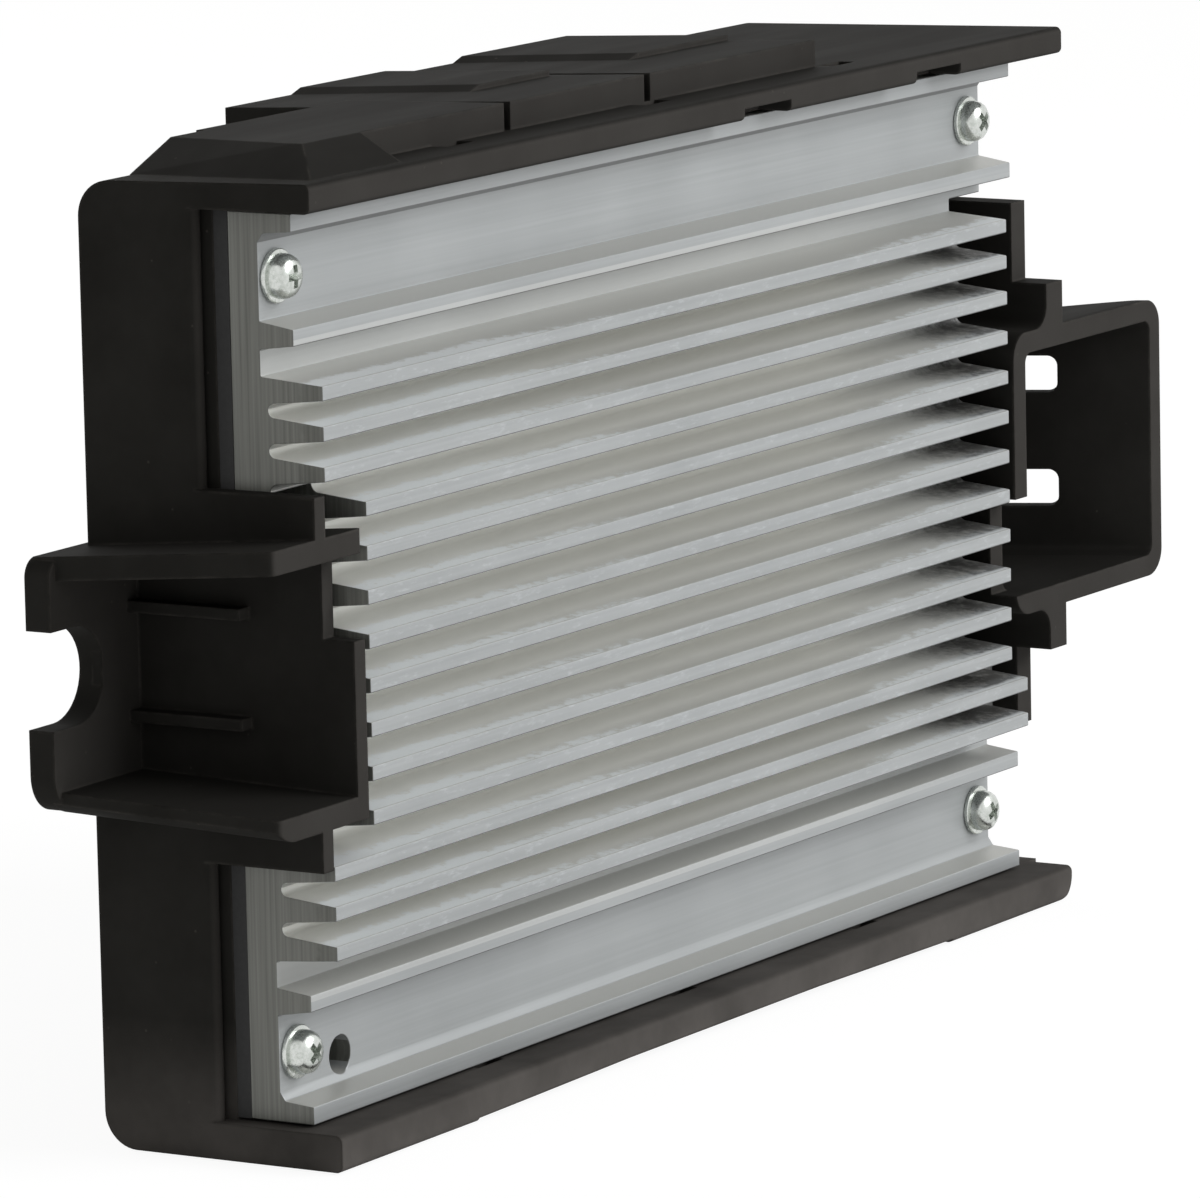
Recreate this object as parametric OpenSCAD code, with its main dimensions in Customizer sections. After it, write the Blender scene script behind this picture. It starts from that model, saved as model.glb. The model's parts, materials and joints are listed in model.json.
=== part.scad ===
// Blower motor resistor: a finned aluminium heat sink screwed into a moulded housing.
// The housing carries a screw ear at its left end, a hooded clip at its right end,
// a driver board behind the heat sink and a connector shroud on its back.
// Everything is drawn from the heat sink: X runs along the fins from mid length,
// Y runs backwards from the tips of the short fins, and Z runs up from mid height.

/* [Heat sink] */
// Length of the extrusion along its fins
sink_len = 149.4; // [130:0.2:170]
// Distance between the middle long fins
fin_pitch = 4.5; // [4:0.1:5]
// Distance between the outer long fins
fin_outer_pitch = 4.08; // [3.8:0.02:4.6]
// Long fins on each side of mid height
fins_per_side = 7; // [4:1:8]
// Outer long fins on each side that keep the outer pitch
fins_outer = 2; // [1:1:3]
// Thickness of a long fin at its tip
fin_tip_t = 1.5; // [1:0.1:1.8]
// Radius of the valley between two long fins
valley_r = 0.9; // [0.8:0.05:1.1]
// Height of a long fin above the valley
fin_h = 6.5; // [4:0.1:8]
// How far the long fins stand in front of the short ones
fin_proud = 3.3; // [2:0.1:4]
// Thickness of a short fin at its tip
short_fin_tip_t = 1.7; // [1.2:0.1:2.2]
// Thickness of a short fin at its root
short_fin_root_t = 2.85; // [2.4:0.05:3.4]
// Height of the short fins and flanges above the channel floor
short_fin_h = 4; // [3:0.1:5]
// Width of the narrow channel beside the last long fin
narrow_channel_w = 2.7; // [2:0.1:3.5]
// Width of the screw channel at its floor
screw_channel_w = 8.5; // [7.5:0.1:10]
// Thickness of the flange along the top and bottom edge
sink_flange_t = 2.45; // [2:0.05:3]
// Thickness of the plate under the screw channel
plate_t = 3.5; // [3:0.1:5]
// How far the left notch is cut into the extrusion
left_notch_depth = 7.5; // [6.5:0.1:9]
// Half the height of the left notch
left_notch_half = 18; // [17.6:0.1:18.4]
// How far the right notch is cut into the extrusion
right_notch_depth = 7.1; // [6.2:0.1:9]
// How far the last long fins are trimmed below the right notch
fin_trim = 3.5; // [2:0.1:5]
// Diameter of the drilled hole beside the lower left screw
drilled_d = 4; // [3:0.1:4.4]
// Distance from the drilled hole to the left end
drilled_inset = 11.3; // [10:0.1:16]

/* [Screws] */
// Nominal diameter of the screws
screw_d = 3; // [2.5:0.1:3.2]
// Diameter of the washer face under the screw head
washer_d = 5.6; // [5:0.1:6.2]
// Thickness of the washer face
washer_t = 0.6; // [0.4:0.1:1]
// Diameter of the pan head
head_d = 5; // [4.4:0.1:5.4]
// Height of the pan head above the washer face
head_h = 2; // [1.5:0.1:2.4]
// Distance from the heat sink's end to the screw axis
screw_inset = 3.1; // [3:0.1:5]
// Length of thread behind the heat sink
screw_reach = 9; // [6:0.5:12]

/* [Housing] */
// Gap between the heat sink and the lips
lip_gap = 0.3; // [0.2:0.05:0.6]
// Thickness of the upper lip
top_lip_t = 3; // [2.4:0.1:4]
// Thickness of the lower lip
bottom_lip_t = 3.8; // [2.4:0.1:4.4]
// How far the upper lip stands in front of the long fins
top_lip_reach = 0.3; // [0:0.1:1]
// How far the lower lip stands in front of the long fins
bottom_lip_reach = 1.3; // [0:0.1:2]
// Distance from the heat sink's left end to the housing's left face
left_margin = 2.1; // [1.8:0.1:3]
// Distance from the heat sink's right end to the housing's right face
right_margin = 5.9; // [5:0.1:8]
// Thickness of the walls
wall_t = 2; // [1.6:0.1:2.6]
// Thickness of the frame that the seal sits on
ledge_t = 3; // [2:0.1:4]
// How far the left wall's rim lies behind the frame
rim_setback = 1.15; // [0.6:0.05:2]
// Width of the shadow groove inside the left wall's rim
rim_groove_w = 0.65; // [0.4:0.05:0.9]
// Rounding of the rim's outer edge
rim_r = 1; // [0.5:0.1:1.2]
// Width of the frame at the heat sink's ends
frame_end_w = 13; // [10:0.5:18]
// Depth of the shallow left part behind the frame
shallow_depth = 14.85; // [12.5:0.05:18]
// Length of the shallow left part
shallow_len = 43.6; // [40:0.1:52]
// Rounding of the shallow part's back edges
shallow_r = 3.8; // [1:0.1:4.5]
// Rounding of the deep part's back edges
deep_r = 2.5; // [1:0.1:3]
// Rounding of the lips' front edges
lip_r = 0.7; // [0.3:0.1:1.1]
// Rounding of the upper lip's right corner
lip_end_r = 1.4; // [0.8:0.1:2.5]
// Rounding of the lower lip's right lower corner
lip_corner_r = 2.8; // [1:0.1:3]
// How far the lower lip's underside rises at mid length
lip_rise = 0.8; // [0.5:0.05:1.2]
// How far the lower lip's underside rises at the ends of the raised length
lip_rise_end = 0.4; // [0:0.05:0.5]
// Length of the lower lip whose underside is raised
lip_rise_len = 101; // [80:1:120]
// Length of the level middle of the raised underside
lip_rise_flat = 40; // [20:1:60]
// How far the lower lip's front stops short of the right face
lip_short = 1.9; // [0.5:0.1:3]
// Outer radius of the bosses that take the heat sink screws
boss_r = 3.2; // [2.6:0.1:3.6]

/* [Roof] */
// Fall of the housing's top towards the back, in degrees
top_fall = 1.4; // [0:0.1:3]
// Height of the raised roof above the lip
roof_rise = 2.8; // [1:0.1:3.5]
// Distance from the short fins' tips back to the raised roof
roof_front = 3; // [2:0.1:6]
// Distance from mid length to the groove that ends the left roof
roof_pitch = 28.4; // [24:0.2:32]
// Width of a groove in the roof
roof_groove_w = 1.2; // [0.8:0.1:2]
// Distance from mid length to the right end of the raised roof
roof_end = 36; // [30:0.5:44]
// Fall of the deep roof towards the back, in degrees
roof_fall = 2.35; // [0:0.05:4]
// Distance from the housing's back to the roof's back edge
roof_inset = 4.9; // [3:0.1:8]
// Height of the pads above the deep roof
pad_rise = 0.6; // [0.3:0.1:1.2]
// Length of the ramp up to a pad
pad_ramp = 4.6; // [2:0.1:6]
// Length of the left pad
left_pad_len = 18.7; // [12:0.1:20]
// Length of the right pad
right_pad_len = 24; // [16:0.5:28]
// Distance from the raised roof's front to the pads
pad_setback = 11; // [6:0.5:14]
// Distance from the left face to the foot of the left ramp
ramp_inset = 1.8; // [1.2:0.1:3]
// Length of the ramp up to the roof at the left end
ramp_len = 7.6; // [4:0.1:10]
// How far the left ramp draws away from the left face towards the back
ramp_skew = 3.4; // [0:0.1:4.6]
// Length of the left roof whose front edge is a ramp
hip_len = 20; // [14:0.5:24]
// Distance between the slots in the lips
slot_pitch = 39.8; // [36:0.2:44]
// Length of a slot in the lips
slot_len = 5; // [3:0.1:8]
// Width of a slot in the lips
slot_w = 2; // [1.2:0.1:3]
// Length of a notch in the upper lip's lower edge
lip_notch_len = 10; // [6:0.1:14]
// Height of a notch in the upper lip's lower edge
lip_notch_h = 1.3; // [0.8:0.1:1.8]
// Depth of a notch in the upper lip's lower edge
lip_notch_depth = 4.1; // [2:0.1:6]

/* [Screw ear] */
// Height of the pocket's middle above the heat sink's middle
ear_z = -0.8; // [-1.4:0.1:0]
// Half the clear height of the pocket
pocket_half = 12.3; // [11.4:0.1:12.8]
// Thickness of the flanges above and below the pocket
ear_flange_t = 2.5; // [1.8:0.1:2.8]
// How far the flanges stand out from the left face
ear_flange_out = 7.9; // [6:0.1:10]
// How far the upper flange comes down towards the ear
upper_flange_fall = 2.4; // [0:0.1:3]
// How far the lower flange comes up towards the ear
lower_flange_rise = 1; // [0:0.1:2]
// Distance from the left face in to the pocket's web
pocket_in = 6.7; // [6.2:0.1:6.9]
// Thickness of the pocket's web
web_t = 2; // [1.5:0.1:2.2]
// How far the web's upper half lies behind its lower half
web_step = 3.7; // [2:0.1:5]
// Height above the pocket's middle where the web steps
web_step_z = 3.5; // [2:0.1:5]
// Thickness of the ear
ear_t = 3; // [2.4:0.1:4]
// How far the ear stands out from the left face
ear_out = 9; // [8.2:0.1:12]
// How far the ear stands behind the shallow part
ear_proud = 1.7; // [0.5:0.1:2.4]
// Rounding of the ear's lower corner
ear_r = 4; // [2:0.1:5]
// Rounding of the ear's upper corner
ear_top_r = 2; // [1:0.1:4]
// Width of the open slot for the fixing screw
ear_slot_w = 10.1; // [8:0.1:11]
// Depth of the open slot from the ear's edge
ear_slot_depth = 9.3; // [8:0.1:10.5]
// Height of the wall's tabs above and below the flanges
tab_h = 4.2; // [3:0.1:5]
// Thickness of the wall's tabs
tab_t = 1.9; // [1.5:0.1:2]
// Distance between the two ribs on the web
rib_spacing = 11.3; // [10.6:0.1:14]
// Thickness of a rib on the web
rib_t = 1.2; // [0.8:0.1:1.6]
// How far a rib stands out from the web
rib_out = 1.9; // [1:0.1:2.5]
// Length of a rib in front of the ear
rib_len = 13.5; // [8:0.5:16]

/* [Hooded clip] */
// How far the hood stands out from the right face
hood_out = 23.6; // [18:0.2:28]
// Half the height of the hood
hood_half = 16.1; // [14:0.1:18]
// Height of the hood's middle above the heat sink's middle
hood_z = -0.3; // [-1:0.1:1]
// Thickness of the hood's walls
hood_wall_t = 2.4; // [1.8:0.1:3]
// Depth of the hood's root in front of the seal's frame
hood_depth = 10.3; // [8:0.1:10.6]
// Depth of the hood beyond the right face
scoop_depth = 18.5; // [17:0.1:20]
// Lean of the hood's outer wall towards the housing at the back, in degrees
hood_lean = 22.8; // [18:0.2:26]
// Fall of the hood's top towards the back, in degrees
hood_fall = 6; // [0:0.5:8]
// Width of the level edge at the front of the hood's top
hood_edge = 0.8; // [0.4:0.1:2]
// Thickness of the hood's back plate
hood_back_t = 1; // [0.8:0.1:2]
// Rounding of the hood's outer corners
hood_r = 3; // [1:0.1:4]
// Rounding of the corners inside the hood
hood_inner_r = 1.2; // [0.6:0.1:2]
// Fillet between the hood and the tab above it
tab_fillet = 2.6; // [1:0.1:4]
// Gap between the right notch and the clip's tongue
tongue_gap = 1.2; // [0.6:0.1:1.6]
// Thickness of the clip's tongue
tongue_t = 2.8; // [2:0.1:3.2]
// Height of the tongue's free end above mid height
tongue_end_z = -2.9; // [-6:0.1:0]
// Height of the slit under the tongue
slit_h = 1.2; // [0.8:0.1:2]
// How far the wall under the slit lies behind the tongue
slit_step = 3.3; // [2:0.1:5]
// Height of each slot in the hood's outer wall
hood_slot_h = 4.3; // [4.2:0.1:6]
// Distance between the middles of the hood's slots
hood_slot_pitch = 13.3; // [11:0.1:15]
// Height of the slots' middle above the hood's middle
hood_slot_z = 0.76; // [-1:0.02:1.5]
// Distance from the hood's front edge to its slots, along the outer wall
hood_slot_start = 11.7; // [10:0.1:12]
// Rounding of the slots' corners
hood_slot_r = 1.2; // [0.6:0.1:1.8]
// Thickness of the right wall's tabs
right_tab_t = 3.8; // [3:0.1:4.4]
// Height of the tabs above and below the hood
right_tab_h = 4.9; // [3:0.1:6]
// Height of the set-back strips beyond the tabs
strip_h = 9; // [5:0.5:10]
// How far the strips lie behind the long fins' tips
strip_setback = 4.4; // [3:0.1:6]

/* [Seal] */
// Thickness of the seal between heat sink and housing
seal_t = 1.65; // [1:0.05:2.5]

/* [Driver board] */
// Thickness of the circuit board
board_t = 1.6; // [1.2:0.1:2]
// Height of the circuit board
board_h = 62; // [58:1:70]
// Space between the heat sink's back and the board
board_standoff = 12.6; // [12:0.1:14]
// Gap between the board's ends and the housing walls
board_end_gap = 4; // [3:0.5:8]
// Distance from the board's edges to its screws
board_screw_inset = 4; // [3.6:0.1:6]
// Diameter of the board screws
board_screw_d = 2.5; // [2:0.1:3]
// Outer radius of the posts behind the board
post_r = 3; // [2.4:0.1:4]
// Play of a lead in its hole in the board
lead_play = 0.2; // [0.1:0.05:0.3]
// Length of the leads past the board
lead_tail = 1.2; // [0.8:0.1:2]
// Gap that keeps round parts off the board
part_gap = 0.1; // [0.05:0.05:0.3]

/* [Power transistors] */
// Distance from the frame's opening to the right transistor's middle
transistor_inset = 14.15; // [11:0.05:18]
// Distance between the two transistors
transistor_spacing = 44; // [40:1:50]
// Width of a transistor
transistor_w = 15.9; // [14:0.1:18]
// Height of a transistor's body
transistor_h = 20.8; // [18:0.1:23]
// Thickness of a transistor
transistor_t = 5; // [4:0.1:5.4]
// Height of the transistors' middle above mid height
transistor_z = 4; // [2:0.5:6]
// Distance between a transistor's leads
lead_pitch = 5.45; // [4.6:0.05:6]
// Width of a transistor's leads
lead_w = 1.2; // [0.8:0.1:1.4]
// Thickness of a transistor's leads
lead_t = 0.7; // [0.5:0.1:0.9]
// Distance from a transistor down to the bend in its leads
lead_drop = 4; // [3:0.5:6]
// Thickness of the insulating pads
pad_t = 0.4; // [0.2:0.05:0.6]
// How far a pad stands out round its transistor
pad_border = 1.2; // [0.6:0.1:2]
// Thickness of the spring clips
clip_t = 0.8; // [0.6:0.1:1]
// Width of the spring clips
clip_w = 12; // [10:0.5:14]
// Length of a clip's foot on the heat sink
clip_foot = 9; // [8:0.5:11]
// Length of a clip's arm over the transistor
clip_arm = 13; // [10:0.5:16]

/* [Board parts] */
// Diameter of the filter capacitor
capacitor_d = 12.5; // [10:0.5:14]
// Height of the filter capacitor
capacitor_h = 13; // [11:0.5:16]
// Space between the capacitor and the back wall
rear_air = 2.9; // [2:0.1:6]
// Diameter of the choke's rod core
choke_core_d = 7; // [6:0.5:8]
// Length of the choke's rod core
choke_len = 22; // [18:0.5:26]
// Thickness of the choke's winding
winding_t = 1.4; // [1:0.1:1.8]
// Length of the choke's winding
winding_len = 15; // [10:0.5:17]
// Diameter of the round leads
round_lead_d = 0.8; // [0.6:0.1:1]
// Diameter of the surge varistor
varistor_d = 10; // [8:0.5:11]
// Thickness of the surge varistor
varistor_t = 4; // [3:0.1:5]
// Diameter of the thermal fuse
fuse_d = 4; // [3:0.1:4.5]
// Length of the thermal fuse
fuse_len = 11; // [9:0.5:13]
// Diameter of the freewheel diode
diode_d = 5.4; // [4.4:0.1:6]
// Length of the freewheel diode
diode_len = 9.5; // [8:0.5:11]
// Length of the shunt strip
shunt_len = 18; // [14:0.5:22]
// Width of the shunt strip
shunt_w = 5; // [4:0.5:6]
// Thickness of the shunt strip
shunt_t = 1; // [0.8:0.1:1.2]
// Height of the shunt strip above the board
shunt_h = 3; // [2:0.1:4]
// Length of the control chip
chip_len = 8.7; // [8.4:0.1:10]
// Width of the control chip
chip_w = 3.9; // [3.6:0.1:4.4]
// Thickness of the control chip
chip_t = 1.6; // [1.2:0.1:1.8]
// Length of a chip resistor
resistor_len = 3.2; // [2:0.1:4]
// Distance between the chip resistors
resistor_pitch = 5; // [4:0.1:5.6]
// Width of the temperature sensor
sensor_w = 4.6; // [4:0.1:5.4]
// Height of the temperature sensor
sensor_h = 5; // [4:0.1:6]

/* [Connector] */
// Inside width of the connector shroud
socket_w = 36; // [34:0.5:42]
// Inside height of the connector shroud
socket_h = 16; // [14:0.5:20]
// Depth of the connector shroud
socket_depth = 15; // [13:0.5:18]
// Thickness of the shroud's walls
shroud_t = 2; // [1.6:0.1:2.5]
// Rounding of the shroud's corners
shroud_r = 3; // [2:0.1:4]
// Width of the power blades
blade_w = 6.3; // [4.8:0.1:7]
// Thickness of the blades and pins
blade_t = 0.8; // [0.6:0.1:1]
// Distance between the power blades
blade_spacing = 22; // [19:0.5:24]
// Width of the signal pins
pin_w = 1.5; // [1:0.1:2]
// Distance between the signal pins
pin_pitch = 4; // [3.5:0.1:4.5]
// Length of the blades and pins inside the shroud
blade_len = 9; // [6:0.5:10]
// Play of a blade in its slot in the back wall
blade_play = 0.15; // [0.05:0.05:0.3]
// Height of the terminal carrier
carrier_h = 10; // [8:0.5:12]

/* [Hidden] */
$fn = 48;
// Length by which a cut runs past the face that it opens
past = 1;

// Heat sink profile: the middle of each long fin, from mid height outwards
function fin_z(i) = i < fins_per_side - fins_outer
    ? (i + 0.5) * fin_pitch
    : (fins_per_side - fins_outer - 0.5) * fin_pitch + (i - fins_per_side + fins_outer + 1) * fin_outer_pitch;
last_fin_z = fin_z(fins_per_side - 1);
fin_root_t = fin_pitch - 2 * valley_r;
short_fin_lean = 0.5;
flange_lean = 0.6;
flange_seat = 1;
floor_y = short_fin_h;
valley_y = fin_h - fin_proud;
sink_back = short_fin_h + plate_t;
narrow_z = last_fin_z + fin_root_t / 2;
short_fin_z = narrow_z + narrow_channel_w;
channel_z = short_fin_z + short_fin_root_t;
flange_z = channel_z + screw_channel_w;
half_h = flange_z + sink_flange_t;
sink_end = sink_len / 2;
screw_x = sink_end - screw_inset;
screw_z = channel_z + screw_channel_w / 2;
screw_play = 0.2;
// Shares of a screw head taken by its crown and by the arms of its cross recess
crown_share = 0.55;
recess_share = 0.56;
recess_w_share = 0.12;
drilled_gap = 0.3;
left_notch_x = -sink_end + left_notch_depth;
right_notch_x = sink_end - right_notch_depth;
right_notch_top = narrow_z + narrow_channel_w / 2;
right_notch_bottom = -(fin_z(fins_per_side - fins_outer - 1) + fin_outer_pitch / 2);

// Housing planes
lip_z = half_h + lip_gap;
roof_z = lip_z + top_lip_t;
floor_z = -lip_z - bottom_lip_t;
fin_front = -fin_proud;
top_lip_front = fin_front - top_lip_reach;
bottom_lip_front = fin_front - bottom_lip_reach;
left_x = -sink_end - left_margin;
right_x = sink_end + right_margin;
ledge_y = sink_back + seal_t;
ledge_back = ledge_y + ledge_t;
rim_y = ledge_y + rim_setback;
shallow_back = ledge_y + shallow_depth;
deep_x = left_x + shallow_len;
board_front = sink_back + board_standoff;
board_back = board_front + board_t;
rear_wall = board_back + capacitor_h + rear_air;
deep_back = rear_wall + wall_t;
// Height of the housing's top and of the raised roof, which fall to the back
function top_at(y) = roof_z - lip_r + lip_r / cos(top_fall) - (y - top_lip_front - lip_r) * tan(top_fall);
function roof_at(y, fall) = roof_z + roof_rise - (y - roof_front) * tan(fall);
// How much thicker the top and bottom are than the other walls
skin_extra = 0.4;
// Closed end of a screw boss behind the thread
boss_end = 2;
// Places of the slots in the lips from the short fins' tips and from their pitch
slot_shift = 1;
top_slot_y = 1;
bottom_slot_y = 0;
window_x = sink_end - frame_end_w;
window_z = screw_z - boss_r - wall_t / 2;

// Left bracket planes
web_x = left_x + pocket_in;
ear_flange_x = left_x - ear_flange_out;
ear_x = left_x - ear_out;
ear_back = shallow_back + ear_proud;
ear_front = ear_back - ear_t;
pocket_top = ear_z + pocket_half;
pocket_bottom = ear_z - pocket_half;
// Faces of the flanges towards the pocket at a place behind the short fins' tips
function upper_face(y) = pocket_top - (y - fin_front) * upper_flange_fall / (ear_back - fin_front);
function lower_face(y) = pocket_bottom + (y - fin_front) * lower_flange_rise / (ear_back - fin_front);

// Right bracket planes
tongue_x = right_notch_x + tongue_gap;
hood_top = hood_z + hood_half;
hood_bottom = hood_z - hood_half;
hood_x = right_x + hood_out;
hood_back = fin_front + hood_depth;
scoop_back = fin_front + scoop_depth;
// Height of the hood's top, which falls to the back behind its level edge
function hood_top_at(y) = hood_top - (y - fin_front - hood_edge) * tan(hood_fall);
strip_front = fin_front + strip_setback;
strip_inset = 0.6;

// Board planes and the places of the parts on it
board_x0 = deep_x + wall_t + board_end_gap;
board_x1 = right_x - wall_t - board_end_gap;
board_x = (board_x0 + board_x1) / 2;
board_z = board_h / 2;
board_screw_reach = 7;
board_washer_d = 2 * board_screw_d;
board_washer_t = 0.5;
board_head_d = 1.8 * board_screw_d;
board_head_h = 1.5;
board_screw_x = [board_x0 + board_screw_inset, board_x1 - board_screw_inset];
board_screw_z = [-board_z + board_screw_inset, board_z - board_screw_inset];
transistor_x = [window_x - transistor_inset - transistor_spacing, window_x - transistor_inset];
transistor_face = sink_back + pad_t + transistor_t;
lead_y = sink_back + pad_t + transistor_t / 2;
lead_z = transistor_z - transistor_h / 2 - lead_drop;
clip_gap = 0.4;
clip_z = transistor_z + transistor_h / 2 + pad_border + clip_gap;
clip_screw_z = clip_z + clip_t + clip_foot / 2;
clip_screw_depth = 3;
// Clearances of the board parts from the board's ends, edges and each other
lead_run = 3;
capacitor_end = 7.75;
capacitor_edge = 9.75;
capacitor_x = board_x0 + capacitor_end + capacitor_d / 2;
capacitor_z = board_z - capacitor_edge - capacitor_d / 2;
capacitor_lead = 2.5;
choke_end = 11;
choke_edge = 9.1;
choke_lead_inset = 1;
choke_x = board_x1 - choke_end - choke_len / 2;
choke_z = board_z - choke_edge - choke_core_d / 2 - winding_t;
choke_y = board_back + choke_core_d / 2 + winding_t + part_gap;
choke_lead = winding_len / 2 - choke_lead_inset;
varistor_end = 10;
varistor_edge = 11;
varistor_gap = 1;
varistor_x = board_x0 + varistor_end + varistor_t / 2;
varistor_z = -board_z + varistor_edge + varistor_d / 2;
varistor_y = board_back + varistor_d / 2 + varistor_gap;
varistor_lead = 2.5;
fuse_end = 9.5;
fuse_edge = 4;
fuse_lead = fuse_len / 2 + lead_run;
fuse_x = board_x1 - fuse_end - fuse_lead;
fuse_z = -board_z + fuse_edge + fuse_d / 2;
fuse_y = board_front - fuse_d / 2 - part_gap;
diode_end = 12.25;
diode_gap = 2.3;
diode_lead = diode_len / 2 + lead_run;
diode_x = board_x1 - diode_end - diode_lead;
diode_z = fuse_z + (fuse_d + diode_d) / 2 + diode_gap;
diode_y = board_back + diode_d / 2 + part_gap;
shunt_end = 9;
shunt_edge = 7.5;
shunt_x = board_x0 + shunt_end + shunt_len / 2;
shunt_z = -board_z + shunt_edge + shunt_w / 2;
shunt_leg = shunt_len / 2 - shunt_t / 2;
chip_edge = 12.05;
chip_x = board_x;
chip_z = -board_z + chip_edge + chip_w / 2;
chip_pins = 7;
chip_pin_pitch = 1.27;
chip_lead = 1.1;
chip_lead_w = 0.4;
resistors = 4;
resistor_w = 1.6;
resistor_t = 0.6;
resistor_edge = 5.2;
resistor_x = board_x - (resistors - 1) / 2 * resistor_pitch;
resistor_z = -board_z + resistor_edge + resistor_w / 2;
sensor_gap = 4.5;
sensor_x = board_x;
sensor_z = carrier_h / 2 + sensor_gap + sensor_h / 2;
sensor_t = 3.6;
sensor_lead = 1.27;
socket_x = board_x;
socket_back = deep_back + socket_depth;
blade_end = deep_back + blade_len;
blade_x = [socket_x - blade_spacing / 2, socket_x + blade_spacing / 2];
pin_x = [for (i = [-1:1]) socket_x + i * pin_pitch];
carrier_border = 1.5;
carrier_w = blade_spacing + blade_w + 2 * carrier_border;
blade_shoulder = 1.5;
// Latch on the shroud: its width, height and places from the shroud's ends
latch_w = 8;
latch_h = 1.6;
latch_start = 3;
latch_ramp = 1;
latch_end = 2;

// Where the whole object stands: middle of its base at the origin
x_mid = (min(ear_x, ear_flange_x) + hood_x) / 2;
y_mid = (bottom_lip_front + socket_back) / 2;

// Round leads pass through the board here: x and z of each
round_leads = concat(
    [for (s = [-1, 1]) [capacitor_x + s * capacitor_lead, capacitor_z]],
    [for (s = [-1, 1]) [choke_x + s * choke_lead, choke_z]],
    [for (s = [-1, 1]) [varistor_x, varistor_z + s * varistor_lead]],
    [for (s = [-1, 1]) [fuse_x + s * fuse_lead, fuse_z]],
    [for (s = [-1, 1]) [diode_x + s * diode_lead, diode_z]],
    [for (s = [-1, 1]) [sensor_x + s * sensor_lead, sensor_z]]
);

module in_place() {
    translate([-x_mid, -y_mid, -floor_z]) children();
}

// Plain builders
module box(x, y, z) {
    translate([x[0], y[0], z[0]]) cube([x[1] - x[0], y[1] - y[0], z[1] - z[0]]);
}

module rect(x, y) {
    translate([x[0], y[0]]) square([x[1] - x[0], y[1] - y[0]]);
}

module rounded_rect(x, y, r) {
    rect([x[0] + r, x[1] - r], y);
    rect(x, [y[0] + r, y[1] - r]);
    for (cx = [x[0] + r, x[1] - r], cy = [y[0] + r, y[1] - r]) translate([cx, cy]) circle(r);
}

// A flat shape drawn in Y and Z, run along X
module along_x(x0, x1) {
    translate([x0, 0, 0]) rotate([90, 0, 90]) linear_extrude(x1 - x0) children();
}

// A flat shape drawn in X and Z, run along Y
module along_y(y0, y1) {
    translate([0, y1, 0]) rotate([90, 0, 0]) linear_extrude(y1 - y0) children();
}

// A flat shape drawn in X and Y, run along Z
module along_z(z0, z1) {
    translate([0, 0, z0]) linear_extrude(z1 - z0) children();
}

// A round bar along Y
module rod_y(x, z, y0, y1, r) {
    translate([x, y0, z]) rotate([-90, 0, 0]) cylinder(h = y1 - y0, r = r);
}

// A round bar along X
module rod_x(x0, x1, y, z, r) {
    translate([x0, y, z]) rotate([0, 90, 0]) cylinder(h = x1 - x0, r = r);
}

// Heat sink: a bar with the valleys and channels cut out of its front
module valley(low, high) {
    mid = (low + high) / 2;
    r = (high - low - fin_root_t) / 2;
    mouth = (high - low - fin_tip_t) / 2;
    translate([valley_y - r, mid]) circle(r);
    polygon([[valley_y - r, mid - r], [fin_front, mid - mouth], [fin_front - past, mid - mouth],
             [fin_front - past, mid + mouth], [fin_front, mid + mouth], [valley_y - r, mid + r]]);
}

module narrow_channel() {
    tip_z = last_fin_z + fin_tip_t / 2;
    polygon([[floor_y, narrow_z], [fin_front, tip_z], [fin_front - past, tip_z],
             [fin_front - past, short_fin_z + short_fin_lean], [0, short_fin_z + short_fin_lean],
             [floor_y, short_fin_z]]);
}

module screw_channel() {
    polygon([[floor_y, channel_z], [0, short_fin_z + short_fin_lean + short_fin_tip_t],
             [-past, short_fin_z + short_fin_lean + short_fin_tip_t], [-past, flange_z + flange_lean],
             [0, flange_z + flange_lean], [floor_y - flange_lean, flange_z + flange_lean / 2],
             [floor_y, flange_z - flange_lean]]);
}

module sink_profile() {
    difference() {
        union() {
            rect([0, sink_back], [-half_h, half_h]);
            rect([fin_front, past], [-short_fin_z, short_fin_z]);
        }
        valley(-fin_z(0), fin_z(0));
        for (m = [0, 1]) mirror([0, m]) {
            for (i = [0:fins_per_side - 2]) valley(fin_z(i), fin_z(i + 1));
            narrow_channel();
            screw_channel();
        }
    }
}

module heat_sink() {
    color("silver") in_place() difference() {
        along_x(-sink_end, sink_end) sink_profile();
        box([-sink_end - past, left_notch_x], [fin_front - past, sink_back + past],
            [-left_notch_half, left_notch_half]);
        box([right_notch_x, sink_end + past], [fin_front - past, sink_back + past],
            [right_notch_bottom, right_notch_top]);
        box([sink_end - fin_trim, sink_end + past], [fin_front - past, valley_y],
            [-narrow_z, right_notch_bottom + past]);
        for (x = [-screw_x, screw_x], z = [-screw_z, screw_z])
            rod_y(x, z, floor_y - past, sink_back + past, screw_d / 2 + screw_play);
        rod_y(-sink_end + drilled_inset, -flange_z + drilled_d / 2 + drilled_gap, floor_y - past,
              sink_back + past, drilled_d / 2);
        for (x = transistor_x)
            rod_y(x, clip_screw_z, sink_back - clip_screw_depth, sink_back + past, screw_d / 2);
    }
}

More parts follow.
